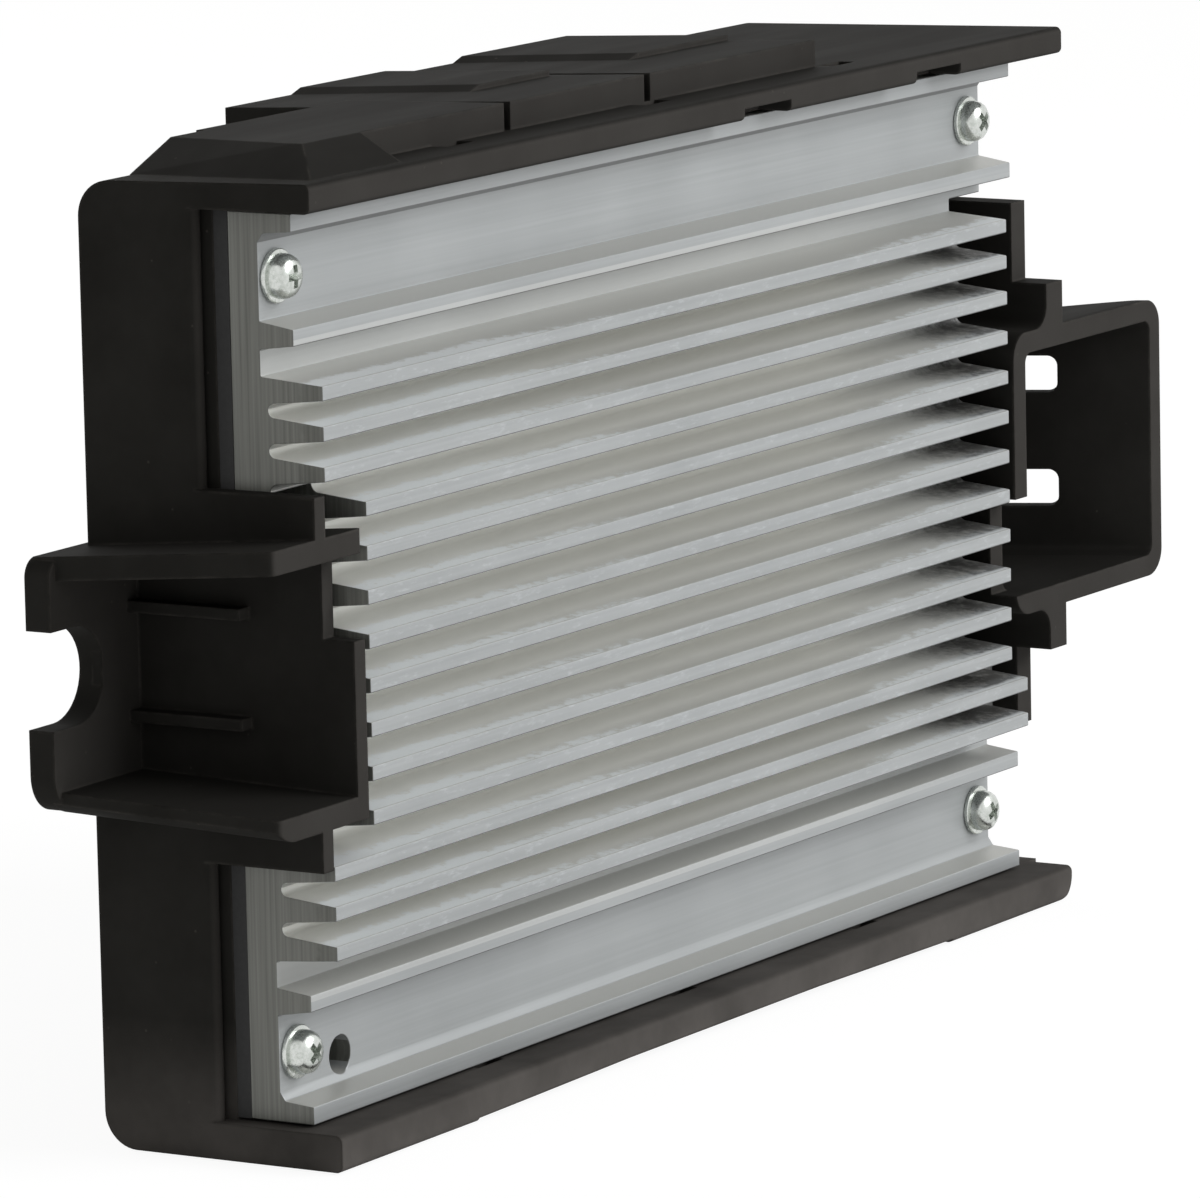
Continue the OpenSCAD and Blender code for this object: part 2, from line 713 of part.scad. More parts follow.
// Pan head screw with a washer face, its head towards the front
module pan_screw(x, z, seat_y, reach, d, wd, wt, hd, hh) {
    crown = hh * crown_share;
    arm = hd * recess_share;
    arm_w = hd * recess_w_share;
    translate([x, seat_y, z]) rotate([90, 0, 0]) difference() {
        union() {
            cylinder(h = wt, d = wd);
            translate([0, 0, wt]) cylinder(h = hh - crown, d = hd);
            translate([0, 0, wt + hh - crown]) rotate_extrude() intersection() {
                scale([1, crown / (hd / 2)]) circle(hd / 2);
                square(hd);
            }
            translate([0, 0, -reach]) cylinder(h = reach, d = d);
        }
        for (a = [0, 90]) rotate([0, 0, a])
            translate([-arm / 2, -arm_w / 2, wt + hh - crown]) cube([arm, arm_w, hh]);
    }
}

module heat_sink_screws() {
    color("gainsboro") in_place()
        for (x = [-screw_x, screw_x], z = [-screw_z, screw_z])
            pan_screw(x, z, floor_y, plate_t + seal_t + screw_reach - screw_play, screw_d, washer_d, washer_t,
                      head_d, head_h);
}

module perimeter_seal() {
    color("black") in_place() along_y(sink_back, ledge_y) difference() {
        rect([-sink_end, sink_end], [-half_h, half_h]);
        rect([-window_x, window_x], [-window_z, window_z]);
        rect([-sink_end - past, left_notch_x], [-left_notch_half, left_notch_half]);
        rect([right_notch_x, sink_end + past], [right_notch_bottom, right_notch_top]);
        for (x = [-screw_x, screw_x], z = [-screw_z, screw_z])
            translate([x, z]) circle(screw_d / 2 + screw_play);
    }
}

// Housing
module lip_ends(front, z) {
    rect([front, front + 2 * lip_r], [z[0] + lip_r, z[1] - lip_r]);
    for (cz = [z[0] + lip_r, z[1] - lip_r]) translate([front + lip_r, cz]) circle(lip_r);
}

module tray_profile(back, r) {
    heel = top_at(back - r) - r / cos(top_fall);
    lip_end = top_lip_front + lip_r + lip_r * sin(top_fall);
    lip_ends(top_lip_front, [lip_z, roof_z]);
    lip_ends(bottom_lip_front, [floor_z, -lip_z]);
    rect([bottom_lip_front + lip_r, ledge_back], [floor_z, -lip_z]);
    polygon([[top_lip_front + lip_r, lip_z], [ledge_y, lip_z], [ledge_y, floor_z], [back - r, floor_z],
             [back, floor_z + r], [back, heel],
             [back - r + r * sin(top_fall), heel + r * cos(top_fall)], [lip_end, top_at(lip_end)]]);
    for (z = [floor_z + r, heel]) translate([back - r, z]) circle(r);
}

// A raised part of the roof between two X and two Y places, its top falling to the back
module roof_slab(x, y, fall, lift) {
    along_x(x[0], x[1]) polygon([[y[0], lip_z], [y[0], roof_at(y[0], fall) + lift],
                                 [y[1], roof_at(y[1], fall) + lift], [y[1], lip_z]]);
}

// The left end of the roof, with ramps up from the end and from the front
module hipped_slab(back) {
    foot_x = left_x + ramp_inset;
    crest_x = foot_x + ramp_len;
    x1 = left_x + hip_len;
    hull() {
        along_z(lip_z, top_at(back))
            polygon([[foot_x, top_lip_front + lip_r], [x1, top_lip_front + lip_r], [x1, back - past],
                     [foot_x + ramp_skew, back - past]]);
        roof_slab([crest_x, x1], [roof_front, roof_front + past], top_fall, 0);
        roof_slab([crest_x + ramp_skew, x1], [back - 2 * past, back - past], top_fall, 0);
    }
}

// A pad on the deep roof, with a ramp at its left end
module roof_pad(x, y) {
    intersection() {
        roof_slab(x, y, roof_fall, pad_rise);
        along_y(y[0], y[1]) polygon([[x[0], lip_z], [x[0], roof_at(y[1], roof_fall)],
                                     [x[0] + pad_ramp, roof_at(y[0], roof_fall) + pad_rise],
                                     [x[1], roof_at(y[0], roof_fall) + pad_rise], [x[1], lip_z]]);
    }
}

module roof() {
    gap = roof_groove_w / 2;
    left_back = shallow_back - shallow_r / 2;
    back = deep_back - roof_inset;
    pads = [roof_front + pad_setback, back];
    hipped_slab(left_back);
    roof_slab([left_x + hip_len - past, -roof_pitch - gap], [roof_front, left_back], top_fall, 0);
    roof_slab([-roof_pitch + gap, -gap], [roof_front, back], roof_fall, 0);
    roof_slab([deep_x, -roof_pitch + gap + past], [left_back + roof_groove_w, back], roof_fall, 0);
    roof_slab([gap, roof_end], [roof_front, back], roof_fall, 0);
    roof_pad([-3 * gap - left_pad_len, -3 * gap], pads);
    roof_pad([roof_end - right_pad_len, roof_end], pads);
}

module cavity() {
    top = roof_z - wall_t - skin_extra;
    bottom = floor_z + wall_t + skin_extra;
    difference() {
        union() {
            box([-window_x, window_x], [ledge_y - past, ledge_back + past], [-window_z, window_z]);
            box([left_x + wall_t, right_x - wall_t], [ledge_back, shallow_back - wall_t], [bottom, top]);
            box([deep_x + wall_t, right_x - wall_t], [ledge_back, rear_wall], [bottom, top]);
        }
        box([left_x, web_x + web_t], [ledge_y - past, ear_back],
            [pocket_bottom - ear_flange_t, pocket_top + ear_flange_t]);
        for (x = [-screw_x, screw_x], z = [-screw_z, screw_z])
            rod_y(x, z, ledge_back - past, ledge_y + screw_reach + boss_end, boss_r);
        for (x = board_screw_x, z = board_screw_z) rod_y(x, z, board_back, rear_wall + past, post_r);
    }
}

module ear() {
    slot_r = ear_slot_w / 2;
    slot_x = ear_x + ear_slot_depth - slot_r;
    x1 = web_x + web_t;
    top = upper_face(ear_back) + ear_flange_t;
    bottom = lower_face(ear_back) - ear_flange_t;
    along_y(ear_front, ear_back) difference() {
        union() {
            rect([ear_x + ear_r, x1], [bottom, top]);
            rect([ear_x + ear_top_r, x1], [bottom + ear_r, top]);
            rect([ear_x, x1], [bottom + ear_r, top - ear_top_r]);
            translate([ear_x + ear_r, bottom + ear_r]) circle(ear_r);
            translate([ear_x + ear_top_r, top - ear_top_r]) circle(ear_top_r);
        }
        translate([slot_x, ear_z]) circle(slot_r);
        rect([ear_x - past, slot_x], [ear_z - slot_r, ear_z + slot_r]);
    }
}

// Cuts the lower flange's outer edge round, in line with the ear's lower corner
module flange_edge_cut() {
    rise = atan(lower_flange_rise / (ear_back - fin_front));
    translate([ear_x + ear_r, fin_front, pocket_bottom - ear_flange_t]) rotate([rise, 0, 0])
        along_y(-past, ear_back - fin_front) difference() {
            rect([-ear_r - past, 0], [-past, ear_r]);
            translate([0, ear_r]) circle(ear_r);
        }
}

// The flanges run from the fins' tips back into the ear and close up on it
module ear_flanges() {
    seat = ear_front + flange_seat;
    difference() {
        intersection() {
            along_x(ear_flange_x, web_x + web_t) {
                polygon([[fin_front, pocket_top], [fin_front, pocket_top + ear_flange_t],
                         [ear_back, upper_face(ear_back) + ear_flange_t], [ear_back, upper_face(ear_back)]]);
                polygon([[fin_front, pocket_bottom], [fin_front, pocket_bottom - ear_flange_t],
                         [seat, lower_face(seat) - ear_flange_t], [seat, lower_face(seat)]]);
            }
            along_z(pocket_bottom - ear_flange_t - past, pocket_top + ear_flange_t + past)
                rounded_rect([ear_flange_x, web_x + web_t], [fin_front, ear_back], lip_r);
        }
        flange_edge_cut();
    }
}

module left_bracket() {
    step_z = ear_z + web_step_z;
    ear_flanges();
    box([web_x, web_x + web_t], [fin_front, ear_back], [lower_face(ear_back) - ear_flange_t, step_z]);
    box([web_x, web_x + web_t], [fin_front + web_step, ear_back],
        [step_z - past, upper_face(ear_back) + ear_flange_t]);
    box([web_x, web_x + web_t], [fin_front, ledge_back],
        [pocket_bottom - ear_flange_t, pocket_bottom + past]);
    box([web_x, web_x + web_t], [fin_front + web_step, ledge_back],
        [pocket_top - ear_flange_t, pocket_top + past]);
    box([left_x, left_x + tab_t], [fin_front, ledge_back],
        [pocket_top, pocket_top + ear_flange_t + tab_h]);
    box([left_x, left_x + tab_t], [fin_front, ledge_back],
        [pocket_bottom - ear_flange_t - tab_h, pocket_bottom]);
    ear();
}

// The pocket in front of the ear; its two ribs are left standing on the web
module pocket() {
    mouth = fin_front - past;
    difference() {
        along_x(ear_flange_x - past, web_x)
            polygon([[mouth, lower_face(mouth)], [mouth, upper_face(mouth)],
                     [ear_front, upper_face(ear_front)], [ear_front, lower_face(ear_front)]]);
        for (s = [-1, 1])
            box([web_x - rib_out, web_x + past], [ear_front - rib_len, ear_front + past],
                [ear_z + s * rib_spacing / 2 - rib_t / 2, ear_z + s * rib_spacing / 2 + rib_t / 2]);
    }
}

// Puts a shape at the hood's front right edge, turned along its leaning outer wall
module on_hood_wall() {
    translate([hood_x, fin_front, 0]) rotate([0, 0, hood_lean]) children();
}

// The part of the hood beyond the right face, or the space in it, set in from the outside
module scoop(inset, x0, y, r) {
    reach = hood_out + scoop_depth;
    intersection() {
        on_hood_wall() along_y(-reach, reach)
            rounded_rect([-reach - r, -inset * cos(hood_lean)], [hood_bottom + inset, hood_top - inset], r);
        along_x(x0, hood_x + past)
            polygon([[y[0], hood_bottom - past], [y[0], hood_top_at(y[0]) - inset],
                     [y[1], hood_top_at(y[1]) - inset], [y[1], hood_bottom - past]]);
    }
}

// Two slots through the outer wall, running back to the hood's back plate
module hood_slots() {
    wall_len = scoop_depth / cos(hood_lean);
    for (s = [-1, 1]) {
        mid = hood_z + hood_slot_z + s * hood_slot_pitch / 2;
        on_hood_wall() along_x(-hood_wall_t - past, past)
            rounded_rect([hood_slot_start, wall_len], [mid - hood_slot_h / 2, mid + hood_slot_h / 2],
                         hood_slot_r);
    }
}

module hood() {
    x0 = tongue_x + tongue_t;
    inner_top = hood_top - hood_wall_t;
    inner_bottom = hood_bottom + hood_wall_t;
    difference() {
        union() {
            along_y(fin_front, hood_back + hood_back_t) hood_root();
            along_y(fin_front, ledge_back) difference() {
                hood_root();
                rect([x0, right_x + past], [inner_bottom, inner_top]);
            }
            scoop(0, right_x - past, [fin_front, scoop_back + hood_back_t], hood_r);
        }
        along_y(fin_front - past, hood_back)
            rounded_rect([x0, right_x + 2 * hood_inner_r], [inner_bottom, inner_top], hood_inner_r);
        scoop(hood_wall_t, right_x, [fin_front - past, scoop_back], hood_inner_r);
        box([tongue_x - past, x0 + past], [fin_front - past, hood_back],
            [tongue_end_z - slit_h, tongue_end_z]);
        box([tongue_x - past, x0 + past], [fin_front - past, fin_front + slit_step],
            [inner_bottom, tongue_end_z]);
        hood_slots();
    }
}

// The hood's outline inside the right face, rounded at the tongue
module hood_root() {
    intersection() {
        rounded_rect([tongue_x, right_x + 2 * hood_r], [hood_bottom, hood_top], hood_r);
        rect([tongue_x, right_x], [hood_bottom, hood_top]);
    }
}

// Tab and set-back strip beyond one edge of the hood, drawn upwards from that edge
module right_tab(edge) {
    tab_x = right_x - right_tab_t;
    tab_end = edge + right_tab_h;
    box([tab_x, right_x], [fin_front, ledge_back], [edge - past, tab_end]);
    box([tab_x, right_x - strip_inset], [strip_front, ledge_back], [tab_end - past, tab_end + strip_h]);
    along_y(fin_front, ledge_back) difference() {
        rect([tab_x - tab_fillet, tab_x + past], [edge - past, edge + tab_fillet]);
        translate([tab_x - tab_fillet, edge + tab_fillet]) circle(tab_fillet);
    }
}

module right_bracket() {
    hood();
    right_tab(hood_top);
    mirror([0, 0, 1]) right_tab(-hood_bottom);
}

module shroud() {
    outer = [socket_w / 2 + shroud_t, socket_h / 2 + shroud_t];
    difference() {
        along_y(deep_back - past, socket_back)
            rounded_rect([socket_x - outer[0], socket_x + outer[0]], [-outer[1], outer[1]], shroud_r);
        along_y(deep_back, socket_back + past)
            rounded_rect([socket_x - socket_w / 2, socket_x + socket_w / 2], [-socket_h / 2, socket_h / 2],
                         shroud_r - shroud_t / 2);
    }
    along_x(socket_x - latch_w / 2, socket_x + latch_w / 2)
        polygon([[deep_back + latch_start, outer[1] - past],
                 [deep_back + latch_start + latch_ramp, outer[1] + latch_h],
                 [socket_back - latch_end, outer[1]], [socket_back - latch_end, outer[1] - past]]);
}

module end_rims() {
    groove_x = -sink_end;
    box([left_x - past, groove_x], [ledge_y - past, rim_y], [-lip_z, lip_z]);
    box([groove_x - rim_groove_w, groove_x], [ledge_y - past, ledge_back], [-lip_z, lip_z]);
    along_z(-lip_z, lip_z) difference() {
        rect([left_x - past, left_x + rim_r], [rim_y - past, rim_y + rim_r]);
        translate([left_x + rim_r, rim_y + rim_r]) circle(rim_r);
    }
    box([sink_end + past, right_x + past], [ledge_y - past, rim_y], [-lip_z, lip_z]);
}

module lip_cuts() {
    for (i = [-1:1]) {
        x = i * slot_pitch - slot_shift;
        box([x - slot_len / 2, x + slot_len / 2], [top_slot_y, top_slot_y + slot_w],
            [lip_z - past, roof_z + past]);
        box([x - slot_len / 2, x + slot_len / 2], [bottom_slot_y, bottom_slot_y + slot_w],
            [floor_z - past, -lip_z + past]);
    }
    along_y(bottom_lip_front - past, ledge_y)
        polygon([[-lip_rise_len / 2, floor_z - past], [lip_rise_len / 2, floor_z - past],
                 [lip_rise_len / 2, floor_z + lip_rise_end], [lip_rise_flat / 2, floor_z + lip_rise],
                 [-lip_rise_flat / 2, floor_z + lip_rise], [-lip_rise_len / 2, floor_z + lip_rise_end]]);
    for (x = [roof_pitch / 2, roof_pitch / 2 + slot_pitch - 2 * slot_shift])
        box([x - lip_notch_len / 2, x + lip_notch_len / 2],
            [top_lip_front - past, top_lip_front + lip_notch_depth], [lip_z - past, lip_z + lip_notch_h]);
    along_z(lip_z - past, roof_z + past) difference() {
        rect([right_x - lip_end_r, right_x + past], [top_lip_front - past, top_lip_front + lip_end_r]);
        translate([right_x - lip_end_r, top_lip_front + lip_end_r]) circle(lip_end_r);
    }
    box([right_x - lip_short, right_x + past], [bottom_lip_front - past, strip_front],
        [floor_z - past, -lip_z + past]);
    corner = [right_x - lip_short - lip_corner_r, floor_z + lip_corner_r];
    along_y(bottom_lip_front - past, strip_front) difference() {
        rect([corner[0], corner[0] + lip_corner_r + past], [floor_z - past, corner[1]]);
        translate(corner) circle(lip_corner_r);
    }
}

module back_wall_slots() {
    y = [rear_wall - past, deep_back + past];
    z = [-blade_t / 2 - blade_play, blade_t / 2 + blade_play];
    for (x = blade_x) box([x - blade_w / 2 - blade_play, x + blade_w / 2 + blade_play], y, z);
    for (x = pin_x) box([x - pin_w / 2 - blade_play, x + pin_w / 2 + blade_play], y, z);
}

module housing() {
    color("#232120") in_place() difference() {
        union() {
            difference() {
                union() {
                    along_x(left_x, deep_x + past) tray_profile(shallow_back, shallow_r);
                    along_x(deep_x, right_x) tray_profile(deep_back, deep_r);
                }
                end_rims();
            }
            roof();
            left_bracket();
            right_bracket();
            shroud();
        }
        cavity();
        pocket();
        lip_cuts();
        for (x = [-screw_x, screw_x], z = [-screw_z, screw_z])
            rod_y(x, z, ledge_y - past, ledge_y + screw_reach, screw_d / 2);
        for (x = board_screw_x, z = board_screw_z)
            rod_y(x, z, board_back - past, board_back + board_screw_reach + past, board_screw_d / 2);
        back_wall_slots();
    }
}

// Driver board
module lead_slot(x, z, w, t) {
    translate([x, z]) square([w + 2 * lead_play, t + 2 * lead_play], center = true);
}

module circuit_board() {
    color("darkgreen") in_place() along_y(board_front, board_back) difference() {
        rect([board_x0, board_x1], [-board_z, board_z]);
        for (x = board_screw_x, z = board_screw_z) translate([x, z]) circle(board_screw_d / 2 + screw_play);
        for (p = round_leads) translate(p) circle(round_lead_d / 2 + lead_play);
        for (x = transistor_x, i = [-1:1]) lead_slot(x + i * lead_pitch, lead_z, lead_w, lead_t);
        for (s = [-1, 1]) lead_slot(shunt_x + s * shunt_leg, shunt_z, shunt_t, shunt_w);
        for (x = concat(blade_x, pin_x)) lead_slot(x, 0, pin_w, blade_t);
    }
}

module board_screws() {
    color("gainsboro") in_place()
        for (x = board_screw_x, z = board_screw_z)
            pan_screw(x, z, board_front, board_t + board_screw_reach, board_screw_d, board_washer_d,
                      board_washer_t, board_head_d, board_head_h);
}

// Power transistors, pads and clips
module transistor(x) {
    color("#1c1c1e") in_place() {
        difference() {
            along_y(sink_back + pad_t, transistor_face)
                rect([x - transistor_w / 2, x + transistor_w / 2],
                     [transistor_z - transistor_h / 2, transistor_z + transistor_h / 2]);
            for (s = [-1, 1])
                rod_y(x + s * transistor_w / 2, transistor_z + transistor_h / 4, sink_back,
                      transistor_face + past, lead_w);
        }
        for (i = [-1:1]) {
            lx = [x + i * lead_pitch - lead_w / 2, x + i * lead_pitch + lead_w / 2];
            box(lx, [lead_y - lead_t / 2, lead_y + lead_t / 2],
                [lead_z - lead_t / 2, transistor_z - transistor_h / 2 + past]);
            box(lx, [lead_y - lead_t / 2, board_back + lead_tail],
                [lead_z - lead_t / 2, lead_z + lead_t / 2]);
        }
    }
}

module left_transistor() {
    transistor(transistor_x[0]);
}

module right_transistor() {
    transistor(transistor_x[1]);
}

module insulating_pad(x) {
    color("lightpink") in_place() along_y(sink_back, sink_back + pad_t)
        rect([x - transistor_w / 2 - pad_border, x + transistor_w / 2 + pad_border],
             [transistor_z - transistor_h / 2 - pad_border, transistor_z + transistor_h / 2 + pad_border]);
}

module left_insulating_pad() {
    insulating_pad(transistor_x[0]);
}

module right_insulating_pad() {
    insulating_pad(transistor_x[1]);
}

// Spring clip: a foot on the heat sink, a riser and an arm over the transistor
module spring_clip(x) {
    color("slategray") in_place() difference() {
        along_x(x - clip_w / 2, x + clip_w / 2) {
            rect([sink_back, sink_back + clip_t], [clip_z, clip_z + clip_t + clip_foot]);
            rect([sink_back, transistor_face + clip_t], [clip_z, clip_z + clip_t]);
            rect([transistor_face, transistor_face + clip_t], [clip_z + clip_t - clip_arm, clip_z + clip_t]);
        }
        rod_y(x, clip_screw_z, sink_back - past, sink_back + clip_t + past, screw_d / 2 + screw_play);
    }
}

module left_clip() {
    spring_clip(transistor_x[0]);
}

module right_clip() {
    spring_clip(transistor_x[1]);
}

module clip_screws() {
    color("gainsboro") in_place() for (x = transistor_x)
        translate([x, 0, clip_screw_z]) mirror([0, 1, 0]) translate([-x, 0, -clip_screw_z])
            pan_screw(x, clip_screw_z, -sink_back - clip_t, clip_t + clip_screw_depth - screw_play, screw_d,
                      washer_d, washer_t, head_d, head_h);
}

// Board parts
module shunt_strip() {
    color("peru") in_place() along_z(shunt_z - shunt_w / 2, shunt_z + shunt_w / 2) {
        rect([shunt_x - shunt_len / 2, shunt_x + shunt_len / 2],
             [board_front - shunt_h, board_front - shunt_h + shunt_t]);
        for (s = [-1, 1])
            rect([shunt_x + s * shunt_leg - shunt_t / 2, shunt_x + s * shunt_leg + shunt_t / 2],
                 [board_front - shunt_h, board_back + lead_tail]);
    }
}

module filter_capacitor() {
    color("#20242c") in_place() {
        rod_y(capacitor_x, capacitor_z, board_back, board_back + capacitor_h, capacitor_d / 2);
        for (s = [-1, 1])
            rod_y(capacitor_x + s * capacitor_lead, capacitor_z, board_front - lead_tail, board_back + past,
                  round_lead_d / 2);
    }
}

module choke_core() {
    color("#3a3a3c") in_place()
        rod_x(choke_x - choke_len / 2, choke_x + choke_len / 2, choke_y, choke_z, choke_core_d / 2);
}

module choke_winding() {
    color("chocolate") in_place() {
        difference() {
            rod_x(choke_x - winding_len / 2, choke_x + winding_len / 2, choke_y, choke_z,
                  choke_core_d / 2 + winding_t);
            rod_x(choke_x - choke_len, choke_x + choke_len, choke_y, choke_z, choke_core_d / 2);
        }
        for (s = [-1, 1])
            rod_y(choke_x + s * choke_lead, choke_z, board_front - lead_tail,
                  choke_y - choke_core_d / 2 - winding_t / 2, round_lead_d / 2);
    }
}

module surge_varistor() {
    color("royalblue") in_place() {
        rod_x(varistor_x - varistor_t / 2, varistor_x + varistor_t / 2, varistor_y, varistor_z,
              varistor_d / 2);
        for (s = [-1, 1])
            rod_y(varistor_x, varistor_z + s * varistor_lead, board_front - lead_tail, varistor_y,
                  round_lead_d / 2);
    }
}

// A round part lying on the board along X, its leads bent into the board
module axial_part(x, y, z, d, len, lead, tail_y) {
    rod_x(x - len / 2, x + len / 2, y, z, d / 2);
    rod_x(x - lead, x + lead, y, z, round_lead_d / 2);
    for (s = [-1, 1]) {
        translate([x + s * lead, y, z]) sphere(d = round_lead_d);
        rod_y(x + s * lead, z, min(y, tail_y), max(y, tail_y), round_lead_d / 2);
    }
}

module thermal_fuse() {
    color("tan") in_place()
        axial_part(fuse_x, fuse_y, fuse_z, fuse_d, fuse_len, fuse_lead, board_back + lead_tail);
}

module freewheel_diode() {
    color("#2a2a2c") in_place()
        axial_part(diode_x, diode_y, diode_z, diode_d, diode_len, diode_lead, board_front - lead_tail);
}

module control_chip() {
    color("#1c1c1e") in_place() {
        box([chip_x - chip_len / 2, chip_x + chip_len / 2], [board_front - chip_t, board_front - part_gap],
            [chip_z - chip_w / 2, chip_z + chip_w / 2]);
        for (i = [0:chip_pins - 1], s = [-1, 1]) {
            px = chip_x + (i - (chip_pins - 1) / 2) * chip_pin_pitch;
            pz = chip_z + s * (chip_w / 2 + chip_lead / 2 - chip_lead_w / 2);
            box([px - chip_lead_w / 2, px + chip_lead_w / 2], [board_front - chip_t / 2, board_front],
                [pz - chip_lead / 2, pz + chip_lead / 2]);
        }
    }
}

module chip_resistors() {
    color("#303033") in_place() for (i = [0:resistors - 1]) {
        x = resistor_x + i * resistor_pitch;
        box([x - resistor_len / 2, x + resistor_len / 2], [board_front - resistor_t, board_front],
            [resistor_z - resistor_w / 2, resistor_z + resistor_w / 2]);
    }
}

// Temperature sensor: flat on the heat sink's back, its leads straight into the board
module temperature_sensor() {
    color("#1c1c1e") in_place() {
        box([sensor_x - sensor_w / 2, sensor_x + sensor_w / 2], [sink_back, sink_back + sensor_t],
            [sensor_z - sensor_h / 2, sensor_z + sensor_h / 2]);
        for (s = [-1, 1])
            rod_y(sensor_x + s * sensor_lead, sensor_z, sink_back + sensor_t - past, board_back + lead_tail,
                  round_lead_d / 2);
    }
}

// Terminals: a narrow tail through the board, a wide blade into the shroud
module power_blade(x) {
    half_w = blade_w / 2;
    shoulder_y = blade_end - blade_shoulder;
    color("silver") in_place() {
        box([x - pin_w / 2, x + pin_w / 2], [board_front - lead_tail, board_back + past],
            [-blade_t / 2, blade_t / 2]);
        along_z(-blade_t / 2, blade_t / 2)
            polygon([[x - half_w, board_back], [x + half_w, board_back], [x + half_w, shoulder_y],
                     [x + half_w - blade_shoulder, blade_end], [x - half_w + blade_shoulder, blade_end],
                     [x - half_w, shoulder_y]]);
    }
}

module supply_blade() {
    power_blade(blade_x[0]);
}

module motor_blade() {
    power_blade(blade_x[1]);
}

module signal_pins() {
    color("silver") in_place() for (x = pin_x)
        box([x - pin_w / 2, x + pin_w / 2], [board_front - lead_tail, blade_end],
            [-blade_t / 2, blade_t / 2]);
}

module terminal_carrier() {
    color("#2b2b2e") in_place() difference() {
        box([socket_x - carrier_w / 2, socket_x + carrier_w / 2], [board_back, rear_wall - part_gap],
            [-carrier_h / 2, carrier_h / 2]);
        for (x = blade_x)
            box([x - blade_w / 2, x + blade_w / 2], [board_back - past, rear_wall],
                [-blade_t / 2, blade_t / 2]);
        for (x = pin_x)
            box([x - pin_w / 2, x + pin_w / 2], [board_back - past, rear_wall], [-blade_t / 2, blade_t / 2]);
    }
}

housing();
heat_sink();
heat_sink_screws();
perimeter_seal();
circuit_board();
board_screws();
left_transistor();
right_transistor();
left_insulating_pad();
right_insulating_pad();
left_clip();
right_clip();
clip_screws();
shunt_strip();
filter_capacitor();
choke_core();
choke_winding();
surge_varistor();
thermal_fuse();
freewheel_diode();
control_chip();
chip_resistors();
temperature_sensor();
supply_blade();
motor_blade();
signal_pins();
terminal_carrier();
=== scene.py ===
import json
import math

import bmesh
import bpy
from mathutils import Matrix, Vector


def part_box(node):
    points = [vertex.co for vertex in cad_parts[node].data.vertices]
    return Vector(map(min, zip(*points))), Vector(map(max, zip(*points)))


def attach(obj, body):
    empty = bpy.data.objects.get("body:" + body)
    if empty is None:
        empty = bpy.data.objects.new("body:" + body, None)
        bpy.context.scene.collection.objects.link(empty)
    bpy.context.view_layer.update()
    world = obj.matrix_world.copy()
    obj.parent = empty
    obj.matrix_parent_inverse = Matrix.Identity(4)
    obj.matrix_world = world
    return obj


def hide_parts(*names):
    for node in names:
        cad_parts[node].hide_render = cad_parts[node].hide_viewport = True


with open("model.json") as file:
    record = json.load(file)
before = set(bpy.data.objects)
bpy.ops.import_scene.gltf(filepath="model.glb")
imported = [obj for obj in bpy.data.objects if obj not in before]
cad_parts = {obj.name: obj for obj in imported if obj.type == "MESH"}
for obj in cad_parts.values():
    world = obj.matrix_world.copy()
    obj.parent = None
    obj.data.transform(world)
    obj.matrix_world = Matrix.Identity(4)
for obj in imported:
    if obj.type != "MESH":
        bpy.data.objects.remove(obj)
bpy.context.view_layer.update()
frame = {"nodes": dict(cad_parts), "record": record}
nodes = frame["nodes"]
MM = 0.001
# The colour sockets of a Mix node: its two inputs and its output
TONE_A, TONE_B, MIXED = 6, 7, 2


# Colours are written as sRGB hex and turned to linear here
def hex_colour(code):
    channels = [int(code[i:i + 2], 16) / 255 for i in (1, 3, 5)]
    return [c / 12.92 if c <= 0.04045 else ((c + 0.055) / 1.055) ** 2.4 for c in channels] + [1.0]


# Adds one node to a tree, with its settings, input values and links
def add(tree, kind, settings=None, values=None, links=None):
    made = tree.nodes.new(kind)
    for name, value in (settings or {}).items():
        setattr(made, name, value)
    for name, value in (values or {}).items():
        made.inputs[name].default_value = value
    for name, source in (links or {}).items():
        tree.links.new(source, made.inputs[name])
    return made


def new_material(name):
    material = bpy.data.materials.new(name)
    material.use_nodes = True
    tree = material.node_tree
    tree.nodes.clear()
    shader = add(tree, "ShaderNodeBsdfPrincipled")
    add(tree, "ShaderNodeOutputMaterial", links={"Surface": shader.outputs["BSDF"]})
    coords = add(tree, "ShaderNodeTexCoord").outputs["Object"]
    return material, tree, shader, coords


